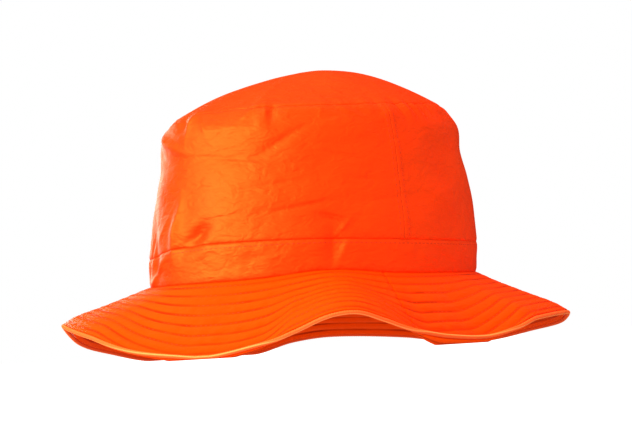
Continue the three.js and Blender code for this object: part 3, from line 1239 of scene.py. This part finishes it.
@dataclass
class ClothPiece:
    """A sewn piece of cloth: a range of the draped surface, with its thickness and relief."""

    drape: Drape
    node: str
    slot: str
    finish: Finish
    cell: float = 0.9  # width of a mesh cell

    @property
    def name(self) -> str:
        """The piece's name, after the CAD node that it dresses."""
        return f"{self.node}_cloth"

    @property
    def thickness(self) -> float:
        """Thickness of the piece's cloth."""
        return self.drape.cut.crown_cloth

    def relief(self, angle: np.ndarray, height: np.ndarray) -> np.ndarray:
        """How far the outer side stands out of the draped surface, in millimetres."""
        return folded(CREASES, angle, height) * self.drape.hang.crease_depth

    def depth(self, angle: np.ndarray, height: np.ndarray) -> np.ndarray:
        """How far the inner side lies inside the draped surface, in millimetres."""
        return self.thickness - folded(CREASES, angle, height) * self.drape.hang.crease_depth

    def grid(self) -> tuple[np.ndarray, np.ndarray, np.ndarray, bool]:
        """The piece's grid of angles and heights, its pattern, and whether it closes."""
        raise NotImplementedError

    def offset(self, angle: np.ndarray, height: np.ndarray, out: np.ndarray) -> np.ndarray:
        """Points moved out of the draped surface, and flattened where they meet the floor.

        Args:
            angle: degrees about +Z.
            height: height on the draped surface.
            out: how far they move out along the surface's normal, in millimetres.

        Returns:
            Points in millimetres.
        """
        normal = self.drape.normal(angle, height)
        points = self.drape.cloth(angle, height) + normal * np.asarray(out)[..., None]
        points[..., 2] = np.maximum(points[..., 2], 0)
        return points

    def outside(self, angle: np.ndarray, height: np.ndarray) -> np.ndarray:
        """Points on the outer side, with all its relief."""
        return self.offset(angle, height, self.relief(angle, height))

    def arc(self, angle: np.ndarray, seam: float) -> np.ndarray:
        """Distance round the hat from a seam and the one opposite, in millimetres."""
        degrees = np.abs(turned(angle - seam, 180))
        return np.radians(degrees) * self.drape.oval(angle)

    def build(self, shift: np.ndarray, finishes: Finishes) -> bpy.types.Object:
        """Makes the piece's object and joins it to the frame.

        Args:
            shift: from the hat's own frame to the row frame, in millimetres.
            finishes: the hat's materials.

        Returns:
            The finished object.
        """
        angle, height, pattern, closed = self.grid()
        inner = self.offset(angle, height, -self.depth(angle, height))
        sewn = sew_wall(self.outside(angle, height), inner, pattern, closed)
        made = finishes.made
        inner_finish = Finish.UNDERSIDE if self.finish is Finish.BRIM else Finish.LINING
        piece = sewn.to_object(self.name, shift, (made[self.finish], made[inner_finish]))
        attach(piece, BODY)
        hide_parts(self.node)
        return piece


@dataclass
class SeamMarks:
    """What sewing does to the cloth beside a seam, in millimetres."""

    pull: float = 0.5  # how deep the cloth is pulled in at the seam
    pull_width: float = 1.1
    pucker: float = 0.5  # height of the puckers
    pucker_reach: float = 5.5  # how far they reach from the seam
    side_reach: float = 7.15  # of the top seam's puckers down the wall
    dome_reach: float = 8.0  # of the top seam's puckers up the dome
    band_share: float = 0.6  # of the puckers at the top seam that the band seam has
    stitch_pull: float = 0.16  # how deep a row of topstitching lies
    stitch_width: float = 0.55
    allowance: float = 0.3  # how far the felled side seam stands out
    allowance_width: float = 3.9  # from the side seam to where that ends
    allowance_slope: float = 0.5  # width over which it falls to the cloth
    twin_stitch: float = 3.0  # from a side seam to each row of its topstitching
    top_stitch: float = 2.2  # from the band seam down to the row below it
    calm: float = 7.0  # how near a seam the cloth's own waves die away
    top_puckers: Unevenness = Unevenness(around=64, along=1, seed=3)
    band_puckers: Unevenness = Unevenness(around=84, along=1, seed=5)


@dataclass
class CrownSide(ClothPiece):
    """Half of the crown's wall, from the band seam to the top seam."""

    start: float = 0.0  # degrees, the side seam where it begins
    marks: SeamMarks = field(default_factory=SeamMarks)
    waves: Unevenness = Unevenness(around=22, along=7, seed=7)
    wave_depth: float = 0.9

    def grid(self) -> tuple[np.ndarray, np.ndarray, np.ndarray, bool]:
        """A panel between two side seams, half a seam gap inside each seam.

        Returns:
            Angles, heights, pattern coordinates, and whether the last column is the first again.
        """
        cut = self.drape.cut
        gap = cut.seam_gap / 2
        edge = math.degrees(gap / (cut.head_width / 2))
        length = math.pi * (cut.head_width + cut.head_length) / 4
        depth = cut.crown_depth - cut.band_width
        angles = np.linspace(self.start + edge, self.start + 180 - edge, round(length / self.cell))
        low, high = cut.band_top + gap / cut.crown_depth, 1 - gap / cut.crown_depth
        heights = np.linspace(low, high, round(depth / self.cell))
        angle, height = np.meshgrid(angles, heights)
        around = angle / 180 * length
        return angle, height, np.stack((around, height * cut.crown_depth), -1), False

    def relief(self, angle: np.ndarray, height: np.ndarray) -> np.ndarray:
        """Creases, a pull at each seam, puckers beside it, and the flat-felled side seam.

        The side seam is raised by its allowance between two rows of stitching, which lie in
        narrow ditches.

        Args:
            angle: degrees about +Z.
            height: height on the draped surface.

        Returns:
            How far the outer side stands out, in millimetres.
        """
        cut, marks = self.drape.cut, self.marks
        from_top = (1 - height) * cut.crown_depth
        from_band = (height - cut.band_top) * cut.crown_depth
        from_side = self.arc(angle, cut.crown_seam)
        out = super().relief(angle, height)
        free = (1 - ditch(from_top, marks.calm)) * (1 - ditch(from_band, marks.calm))
        out += self.wave_depth * self.waves.at(angle, height) * free
        puckers = marks.top_puckers.at(angle, height) * ditch(from_top, marks.side_reach)
        band_puckers = marks.band_puckers.at(angle, height)
        puckers += marks.band_share * band_puckers * ditch(from_band, marks.pucker_reach)
        out += marks.pucker * puckers
        slope_start = marks.allowance_width - marks.allowance_slope
        out += marks.allowance * (1 - smoothstep(from_side, slope_start, marks.allowance_width))
        out -= marks.stitch_pull * ditch(from_side - marks.twin_stitch, marks.stitch_width)
        for distance in (from_top, from_band):
            out -= marks.pull * ditch(distance, marks.pull_width)
        return out


@dataclass
class CrownTop(ClothPiece):
    """The domed round panel on top."""

    marks: SeamMarks = field(default_factory=SeamMarks)
    waves: Unevenness = Unevenness(around=9, along=3, seed=13)
    wave_depth: float = 0.7
    calm_middle: float = 0.4  # share of the radius inside which the relief dies away

    def grid(self) -> tuple[np.ndarray, np.ndarray, np.ndarray, bool]:
        """A square grid bent into a disc: each square ring of it becomes a circle.

        Returns:
            Angles, heights, pattern coordinates, and whether the last column is the first again.
        """
        cut = self.drape.cut
        reach = cut.head_length * CROWN_SECTIONS[-1].radius / 2
        across = np.linspace(-1, 1, 2 * round(reach / self.cell) + 1)
        x, y = np.meshgrid(across, across)
        wide = np.abs(x) >= np.abs(y)
        radius = np.where(wide, x, y)
        safe = np.where(radius == 0, 1, radius)
        turn = np.where(wide, np.pi / 4 * y / safe, np.pi / 2 - np.pi / 4 * x / safe)
        flat = np.stack((radius * np.cos(turn), radius * np.sin(turn)), -1)
        angle = np.degrees(np.arctan2(flat[..., 1], flat[..., 0]))
        edge = 1 - cut.seam_gap / 2 / reach
        return angle, 2 - np.abs(radius) * edge, flat * reach, False

    def relief(self, angle: np.ndarray, height: np.ndarray) -> np.ndarray:
        """Creases, slow waves, and the pull and puckers of the top seam.

        Args:
            angle: degrees about +Z.
            height: height on the draped surface.

        Returns:
            How far the outer side stands out, in millimetres.
        """
        cut, marks = self.drape.cut, self.marks
        share = 2 - height
        from_seam = (1 - share) * cut.head_width / 2
        off_middle = smoothstep(share, 0, self.calm_middle)
        out = super().relief(angle, height) * off_middle
        free = off_middle * (1 - ditch(from_seam, marks.calm))
        out += self.wave_depth * self.waves.at(angle, share) * free
        puckers = marks.top_puckers.at(angle, share) * ditch(from_seam, marks.dome_reach)
        return out + marks.pucker * puckers - marks.pull * ditch(from_seam, marks.pull_width)


@dataclass
class Band(ClothPiece):
    """The strip round the head opening."""

    marks: SeamMarks = field(default_factory=SeamMarks)
    puckers: Unevenness = Unevenness(around=76, along=2, seed=17)
    waves: Unevenness = Unevenness(around=26, along=2, seed=19)
    wave_depth: float = 0.5

    @property
    def thickness(self) -> float:
        """Shell and turned seam allowances together."""
        return self.drape.cut.band_cloth

    def grid(self) -> tuple[np.ndarray, np.ndarray, np.ndarray, bool]:
        """A closed ring, half a seam gap inside both of its seams.

        Returns:
            Angles, heights, pattern coordinates, and whether the last column is the first again.
        """
        cut = self.drape.cut
        gap = cut.seam_gap / 2 / cut.crown_depth
        length = math.pi * (cut.head_width + cut.head_length) / 2
        angles = np.linspace(0, 360, round(length / self.cell) + 1)
        heights = np.linspace(gap, cut.band_top - gap, round(cut.band_width / self.cell) + 1)
        angle, height = np.meshgrid(angles, heights)
        pattern = np.stack((angle / 360 * length, height * cut.crown_depth), -1)
        return angle, height, pattern, True

    def relief(self, angle: np.ndarray, height: np.ndarray) -> np.ndarray:
        """Creases, waves, puckers, one row of stitching and a pull at each seam.

        The puckers turn into the crown's own at the band seam and die away at the brim seam.

        Args:
            angle: degrees about +Z.
            height: height on the draped surface.

        Returns:
            How far the outer side stands out, in millimetres.
        """
        cut, marks = self.drape.cut, self.marks
        share = height / cut.band_top
        from_top = (1 - share) * cut.band_width
        from_brim = share * cut.band_width
        out = super().relief(angle, height)
        out += self.wave_depth * self.waves.at(angle, share) * np.sin(np.pi * share)
        at_top, at_brim = (ditch(far, marks.pucker_reach) for far in (from_top, from_brim))
        puckers = marks.band_puckers.at(angle, height) * at_top
        puckers += self.puckers.at(angle, share) * (1 - at_top) * (1 - at_brim)
        out += marks.band_share * marks.pucker * puckers
        out -= marks.stitch_pull * ditch(from_top - marks.top_stitch, marks.stitch_width)
        for distance in (from_top, from_brim):
            out -= marks.pull * ditch(distance, marks.pull_width)
        return out


@dataclass
class BrimHalf(ClothPiece):
    """Half of the brim: two layers quilted with rows of stitching."""

    start: float = 0.0  # degrees, the side seam where it begins
    marks: SeamMarks = field(default_factory=SeamMarks)
    quilt_depth: float = 0.85  # from a ditch to the crest beside it
    quilt_sink: float = 0.9  # of the quilting's depth that lies inside the draped surface
    slack: Unevenness = Unevenness(around=22, along=9, seed=31)
    slack_share: float = 0.6  # of the quilting's depth that comes and goes
    tip: float = 60.0  # degrees, where the brim's right tip is, opposite the left one
    tip_spread: float = 32.0  # degrees
    tip_tautness: float = 0.75  # of the quilting's depth that is pulled flat there
    puckers: Unevenness = Unevenness(around=170, along=18, seed=23)
    pucker_depth: float = 0.35
    waves: Unevenness = Unevenness(around=34, along=3, seed=29)
    wave_depth: float = 0.5
    edge_growth: float = 0.5  # how much longer the edge is than the seam, as a share

    @property
    def thickness(self) -> float:
        """Both layers and the filling."""
        return self.drape.cut.brim_cloth

    def grid(self) -> tuple[np.ndarray, np.ndarray, np.ndarray, bool]:
        """A panel between two side seams, from the overcast edge to the brim seam.

        Returns:
            Angles, heights, pattern coordinates, and whether the last column is the first again.
        """
        cut = self.drape.cut
        gap = cut.seam_gap / 2
        edge = math.degrees(gap / (cut.head_width / 2))
        middle = (cut.head_width + cut.head_length) / 2 + cut.brim_width
        length = math.pi * middle / 2
        width = -cut.brim_end * cut.brim_width
        angles = np.linspace(self.start + edge, self.start + 180 - edge, round(length / self.cell))
        cells = cut.quilt_rows * math.ceil(width / cut.quilt_rows / self.cell)
        heights = np.linspace(cut.brim_end, -gap / cut.brim_width, cells + 1)
        angle, height = np.meshgrid(angles, heights)
        pattern = np.stack((angle / 180 * length, height * cut.brim_width), -1)
        return angle, height, pattern, False

    def quilting(self, angle: np.ndarray, height: np.ndarray) -> np.ndarray:
        """How far the cloth is pulled in by the rows: an arch between each two rows of stitching.

        The arch is the size of a cosine wave. The slack makes it uneven, puckers cross the rows,
        and the cloth is taut at the two tips.

        Args:
            angle: degrees about +Z.
            height: height on the draped surface, below 0.

        Returns:
            Depth below the draped surface, in millimetres.
        """
        cut = self.drape.cut
        rows = (height - cut.brim_end) / -cut.brim_end * cut.quilt_rows
        arch = np.abs(np.cos(np.pi * rows))
        puckers = self.puckers.at(angle, -height) * np.sin(np.pi * np.clip(-height, 0, 1))
        from_tip = turned(angle - self.tip, 180)
        loose = 1 - self.tip_tautness * ditch(from_tip, self.tip_spread)
        depth = self.quilt_depth * (1 + self.slack_share * self.slack.at(angle, -height))
        return loose * (depth * (self.quilt_sink - arch) - self.pucker_depth * puckers * arch)

    def offset(self, angle: np.ndarray, height: np.ndarray, out: np.ndarray) -> np.ndarray:
        """Points moved as on any piece, and beside the seam as far as the band's lower edge is.

        Args:
            angle: degrees about +Z.
            height: height on the draped surface.
            out: how far they move out along the surface's normal, in millimetres.

        Returns:
            Points in millimetres.
        """
        hang, band_edge = self.drape.hang, np.zeros_like(height)
        stray = folded(FOLDS, angle, band_edge) * hang.fold_depth
        stray += folded(CREASES, angle, band_edge) * hang.crease_depth
        stray *= ditch(height * self.drape.cut.brim_width, self.marks.pucker_reach)
        return super().offset(angle, height, out) + in_plane(stray, angle, np.zeros_like(stray))

    def relief(self, angle: np.ndarray, height: np.ndarray) -> np.ndarray:
        """The quilting, slow waves that fade at both borders, and a pull at each seam.

        Args:
            angle: degrees about +Z.
            height: height on the draped surface.

        Returns:
            How far the outer side stands out, in millimetres.
        """
        cut, marks = self.drape.cut, self.marks
        from_seam = -height * cut.brim_width
        from_side = self.arc(angle, cut.brim_seam) * (1 - height * self.edge_growth)
        out = self.wave_depth * self.waves.at(angle, -height) * np.sin(-np.pi * height)
        out -= self.quilting(angle, height)
        for distance in (from_seam, from_side):
            out -= marks.pull * ditch(distance, marks.pull_width)
        return out

    def depth(self, angle: np.ndarray, height: np.ndarray) -> np.ndarray:
        """The underside mirrors the quilting of the upper side and follows its waves."""
        waves = self.wave_depth * self.waves.at(angle, -height) * np.sin(-np.pi * height)
        return self.thickness - self.quilting(angle, height) - waves


@dataclass
class BrimEdge:
    """The rolled edge of the brim, wound with overcast thread."""

    drape: Drape
    name: str = "brim_edge_overcast"
    node: str = "brim_edge"
    slot: str = "edge_thread"
    sides: int = 14  # of the mesh round the roll
    step: float = 0.36  # of the mesh along the edge
    wrap_spacing: float = 1.5  # between two turns of thread
    wrap_depth: float = 0.16  # of the groove between them
    strand_turn: float = 100.0  # degrees, so that one painted highlight line lies just below the outermost line
    reach_out: float = 1.7  # brim widths that the edge is wider than the head opening

    @cached_property
    def wraps(self) -> int:
        """How many turns of thread go round the edge, from its length as a circle.

        Returns:
            A whole number of turns.
        """
        cut = self.drape.cut
        across = (cut.head_width + cut.head_length) / 2 + self.reach_out * cut.brim_width
        return round(math.pi * across / self.wrap_spacing)

    def line(self, angle: np.ndarray) -> tuple[np.ndarray, np.ndarray, np.ndarray]:
        """The middle of the roll, and the outward and upward directions there.

        Args:
            angle: degrees about +Z.

        Returns:
            Points in millimetres and two unit vectors for each.
        """
        cut = self.drape.cut
        end = self.drape.cloth(angle, cut.brim_end)
        up = self.drape.normal(angle, cut.brim_end)
        outward = end - self.drape.cloth(angle, cut.brim_end + HEIGHT_STEP)
        outward /= np.linalg.norm(outward, axis=-1, keepdims=True)
        beyond = cut.edge_roll / 2 + cut.roll_gap
        return end - up * (cut.brim_cloth / 2) + outward * beyond, outward, up

    def surface(self, angle: np.ndarray, turn: np.ndarray) -> np.ndarray:
        """The roll's surface: a circle round its middle, ridged where the thread crosses it.

        Args:
            angle: degrees about +Z.
            turn: degrees round the roll, from outward towards up.

        Returns:
            Points in millimetres.
        """
        middle, outward, up = self.line(angle)
        wound = np.radians(angle * self.wraps + turn)
        radius = self.drape.cut.edge_roll / 2 - self.wrap_depth * (1 - np.cos(wound)) / 2
        aside = (radius * np.cos(np.radians(turn)))[..., None] * outward
        points = middle + aside + (radius * np.sin(np.radians(turn)))[..., None] * up
        points[..., 2] = np.maximum(points[..., 2], 0)
        return points

    def sewn(self) -> Sewn:
        """The tube, as a grid of turns round the roll by steps round the brim.

        Returns:
            The tube in the hat's own frame.
        """
        length = self.wraps * self.wrap_spacing
        angles = np.linspace(0, 360, round(length / self.step) + 1)
        turns = np.linspace(0, 360, self.sides + 1)
        angle, turn = np.meshgrid(angles, turns)
        girth = math.pi * self.drape.cut.edge_roll
        pattern = np.stack((angle / 360 * length, (turn + self.strand_turn) / 360 * girth), -1)
        return sew_tube(self.surface(angle, turn), pattern)

    def shift(self, sewn: Sewn) -> np.ndarray:
        """The way from the hat's own frame to the row frame: from one edge's centre to the other's.

        Args:
            sewn: the edge in the hat's own frame.

        Returns:
            A level vector in millimetres.
        """
        low, high = (np.array(corner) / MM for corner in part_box(self.node))
        own = (sewn.points.min(0) + sewn.points.max(0)) / 2
        way = (low + high) / 2 - own
        way[2] = 0
        return way

    def build(self, sewn: Sewn, shift: np.ndarray, finishes: Finishes) -> bpy.types.Object:
        """Makes the edge's object and joins it to the frame.

        Args:
            sewn: the edge in the hat's own frame.
            shift: from the hat's own frame to the row frame, in millimetres.
            finishes: the hat's materials.

        Returns:
            The finished object.
        """
        piece = sewn.to_object(self.name, shift, (finishes.made[Finish.OVERCAST],))
        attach(piece, BODY)
        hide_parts(self.node)
        return piece


@dataclass
class Stitching:
    """Rows of lockstitch: short threads that lie on the cloth and dive in at both ends."""

    drape: Drape
    name: str = "stitches"
    slot: str = "edge_thread"
    stitch: float = 2.6  # length of a stitch
    gap: float = 0.5  # between two stitches
    thread: float = 0.5  # width of the thread
    sunk: float = 0.1  # how deep a stitch starts and ends in the cloth
    taper: float = 0.45  # share of the thread's width at a stitch's ends
    stations: int = 4  # along a stitch
    samples: int = 181  # along a row, to measure it

    def row(
        self, piece: ClothPiece, start: tuple[float, float], end: tuple[float, float]
    ) -> Sewn:
        """A row of stitches on a piece's outer side.

        Args:
            piece: the piece of cloth that carries it.
            start: angle and height where the row starts.
            end: angle and height where it ends.

        Returns:
            The stitches as one mesh.
        """
        sample = np.linspace(0, 1, self.samples)
        (angle_from, height_from), (angle_to, height_to) = start, end
        line = self.drape.cloth(
            angle_from + (angle_to - angle_from) * sample,
            height_from + (height_to - height_from) * sample,
        )
        travelled = np.append(0, np.cumsum(np.linalg.norm(np.diff(line, axis=0), axis=1)))
        pitch = self.stitch + self.gap
        count = max(int(travelled[-1] / pitch), 1)
        pitch = travelled[-1] / count
        within = np.linspace(0, 1, self.stations)
        along = (np.arange(count)[:, None] + 0.5) * pitch + (within - 0.5) * self.stitch
        share = np.interp(along, travelled, sample)
        angle = angle_from + (angle_to - angle_from) * share
        height = height_from + (height_to - height_from) * share
        up = self.drape.normal(angle, height)
        lift = (self.thread / 2 - self.sunk) * np.sin(np.pi * within) - self.sunk
        path = piece.outside(angle, height) + up * lift[:, None]
        ahead = np.gradient(path, axis=1)
        aside = np.cross(ahead, up)
        aside /= np.linalg.norm(aside, axis=-1, keepdims=True)
        path[..., 2] = np.maximum(path[..., 2], self.thread)
        radius = self.thread / 2 * (self.taper + (1 - self.taper) * np.sin(np.pi * within))
        return sew_threads(path, -aside, up, radius)

    def lay(
        self, rows: Sequence[Sewn], shift: np.ndarray, finishes: Finishes
    ) -> bpy.types.Object:
        """Makes one object of all rows and joins it to the frame.

        Args:
            rows: the rows in the hat's own frame.
            shift: from the hat's own frame to the row frame, in millimetres.
            finishes: the hat's materials.

        Returns:
            The finished object.
        """
        piece = join(rows).to_object(self.name, shift, (finishes.made[Finish.THREAD],))
        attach(piece, BODY)
        return piece


@dataclass
class BrimQuilting(Stitching):
    """The stitches of the brim's quilting, a row in each ditch."""

    name: str = "brim_quilting_stitches"
    inset: float = 1.0  # degrees between a row's end and the side seam

    def build(
        self, halves: Sequence[BrimHalf], shift: np.ndarray, finishes: Finishes
    ) -> bpy.types.Object:
        """Lays a row of stitches in each ditch of both halves.

        Args:
            halves: the brim's two halves.
            shift: from the hat's own frame to the row frame, in millimetres.
            finishes: the hat's materials.

        Returns:
            The finished object.
        """
        cut = self.drape.cut
        rows = []
        for half in halves:
            for i in range(cut.quilt_rows):
                height = cut.brim_end * (1 - (i + 0.5) / cut.quilt_rows)
                start, end = half.start + self.inset, half.start + 180 - self.inset
                rows.append(self.row(half, (start, height), (end, height)))
        return self.lay(rows, shift, finishes)


@dataclass
class SeamStitching(Stitching):
    """The stitches beside the crown's seams: twin rows at each side seam and one on the band."""

    name: str = "crown_seam_stitches"

    def build(
        self,
        sides: Sequence[CrownSide],
        band: Band,
        shift: np.ndarray,
        finishes: Finishes,
    ) -> bpy.types.Object:
        """Lays two rows beside each side seam and one round the band.

        Args:
            sides: the two halves of the crown's wall.
            band: the band.
            shift: from the hat's own frame to the row frame, in millimetres.
            finishes: the hat's materials.

        Returns:
            The finished object.
        """
        cut, marks = self.drape.cut, band.marks
        rows = []
        for side in sides:
            for seam, way in ((side.start, 1), (side.start + 180, -1)):
                radius = float(self.drape.oval(np.array(seam)))
                angle = seam + way * math.degrees(marks.twin_stitch / radius)
                low = cut.band_top + marks.pull_width / cut.crown_depth
                high = 1 - marks.pull_width / cut.crown_depth
                rows.append(self.row(side, (angle, low), (angle, high)))
        height = cut.band_top - marks.top_stitch / cut.crown_depth
        rows.append(self.row(band, (0.0, height), (360.0, height)))
        return self.lay(rows, shift, finishes)


@dataclass(frozen=True)
class Softbox:
    """A square soft light that faces the hat, in metres, degrees and watts."""

    name: str
    bearing: float  # about +Z, counted from +X
    climb: float  # above the floor
    away: float  # from the hat
    side: float  # length of its side
    power: float
    mirrored: bool = True  # whether reflections show it

    def build(self, aim: Vector) -> bpy.types.Object:
        """Makes the light.

        Args:
            aim: the point that it faces.

        Returns:
            The light's object.
        """
        data = bpy.data.lights.new(self.name, "AREA")
        data.shape = "SQUARE"
        data.size = self.side
        data.energy = self.power
        light = bpy.data.objects.new(self.name, data)
        bpy.context.scene.collection.objects.link(light)
        turn, rise = math.radians(self.bearing), math.radians(self.climb)
        flat = self.away * math.cos(rise)
        place = Vector((flat * math.cos(turn), flat * math.sin(turn), self.away * math.sin(rise)))
        light.location = aim + place
        light.rotation_mode = "QUATERNION"
        light.rotation_quaternion = (-place).to_track_quat("-Z", "Y")
        light.visible_glossy = self.mirrored
        return light


SOFTBOXES = (
    Softbox("key_softbox", bearing=-85, climb=14, away=1.3, side=1.1, power=25),
    Softbox("top_softbox", bearing=-90, climb=80, away=1.5, side=1.2, power=26, mirrored=False),
    Softbox("rim_softbox", bearing=-182, climb=8, away=1.4, side=0.6, power=8),
)


@dataclass
class Studio:
    """The plain pale floor, the soft light and the camera, in metres and degrees."""

    floor_radius: float = 7.0
    floor_sides: int = 64
    floor_level: float = -0.0001
    sky: float = 1.0  # strength of its white
    distance: float = 2.5  # from the camera to the hat
    azimuth: float = 60.0  # of the camera, counted from -Y towards +X
    eye_height: float = 0.005
    aim: tuple[float, float, float] = (-0.00247, 0.00619, 0.0809)
    roll: float = 3.45
    focal_length: float = 238.9  # of a full-frame camera, in millimetres
    sight: float = 100.0  # how far the camera sees
    film_gamma: float = 0.8  # the photograph's rich colour

    def floor(self) -> bpy.types.Object:
        """A large round floor, just below what stands on it.

        Returns:
            The floor's object.
        """
        bpy.ops.mesh.primitive_circle_add(
            vertices=self.floor_sides, radius=self.floor_radius, fill_type="NGON"
        )
        floor = bpy.context.object
        floor.name = "floor"
        floor.data.transform(floor.matrix_world)
        floor.location = (0, 0, self.floor_level)
        floor.data.materials.append(LightTable().material())
        floor.visible_glossy = False
        return floor

    def world(self) -> None:
        """An even white sky that reflections leave out, as if flags stood round the hat."""
        world = bpy.data.worlds.new("white_sky")
        world.use_nodes = True
        sky = world.node_tree.nodes["Background"]
        sky.inputs["Color"].default_value = from_hex(WHITE)
        sky.inputs["Strength"].default_value = self.sky
        world.cycles_visibility.glossy = False
        bpy.context.scene.world = world

    def camera(self) -> bpy.types.Object:
        """The photograph's low view, from just above the floor, tilted a little to one side.

        Returns:
            The camera's object.
        """
        data = bpy.data.cameras.new("camera")
        data.lens = self.focal_length
        data.clip_end = self.sight
        camera = bpy.data.objects.new("camera", data)
        bpy.context.scene.collection.objects.link(camera)
        turn = math.radians(self.azimuth)
        aim = Vector(self.aim)
        place = Vector((math.sin(turn), -math.cos(turn), 0)) * self.distance
        camera.location = (aim.x + place.x, aim.y + place.y, self.eye_height)
        camera.rotation_mode = "QUATERNION"
        level = (aim - camera.location).to_track_quat("-Z", "Y")
        camera.rotation_quaternion = level @ Quaternion((0, 0, 1), math.radians(-self.roll))
        bpy.context.scene.camera = camera
        return camera

    def build(self) -> None:
        """Sets up the floor, the sky, the lights and the camera."""
        self.camera()
        self.floor()
        self.world()
        for softbox in SOFTBOXES:
            softbox.build(Vector(self.aim))
        view = bpy.context.scene.view_settings
        view.view_transform = "Standard"
        view.gamma = self.film_gamma


def report(piece: bpy.types.Object) -> None:
    """Logs a finished piece with its number of triangles."""
    triangles = sum(len(p.vertices) - 2 for p in piece.data.polygons)
    log.info("%s: %d triangles", piece.name, triangles)


def main() -> None:
    """Loads the frame, builds the hat round it, and sets up the studio."""
    logging.basicConfig(level=logging.INFO, format="%(name)s: %(message)s")
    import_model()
    Studio().build()
    drape, finishes = Drape(), Finishes()
    cut = drape.cut
    edge = BrimEdge(drape)
    rolled = edge.sewn()
    shift = edge.shift(rolled)
    log.info("shift to the row frame: %s mm", np.round(shift, 3))
    top = CrownTop(drape, "crown_top", "crown_shell", Finish.SHELL)
    sides = [
        CrownSide(drape, node, "crown_shell", Finish.SHELL, start=cut.crown_seam + turn)
        for node, turn in (("crown_side_back", 0), ("crown_side_front", 180))
    ]
    band = Band(drape, "band", "band_shell", Finish.BAND)
    halves = [
        BrimHalf(drape, node, "quilted_brim", Finish.BRIM, start=cut.brim_seam + turn)
        for node, turn in (("brim_back", 0), ("brim_front", 180))
    ]
    for piece in (top, *sides, band, *halves):
        report(piece.build(shift, finishes))
    report(edge.build(rolled, shift, finishes))
    report(BrimQuilting(drape).build(halves, shift, finishes))
    report(SeamStitching(drape).build(sides, band, shift, finishes))
    bpy.context.view_layer.update()


if __name__ == "__main__":
    main()
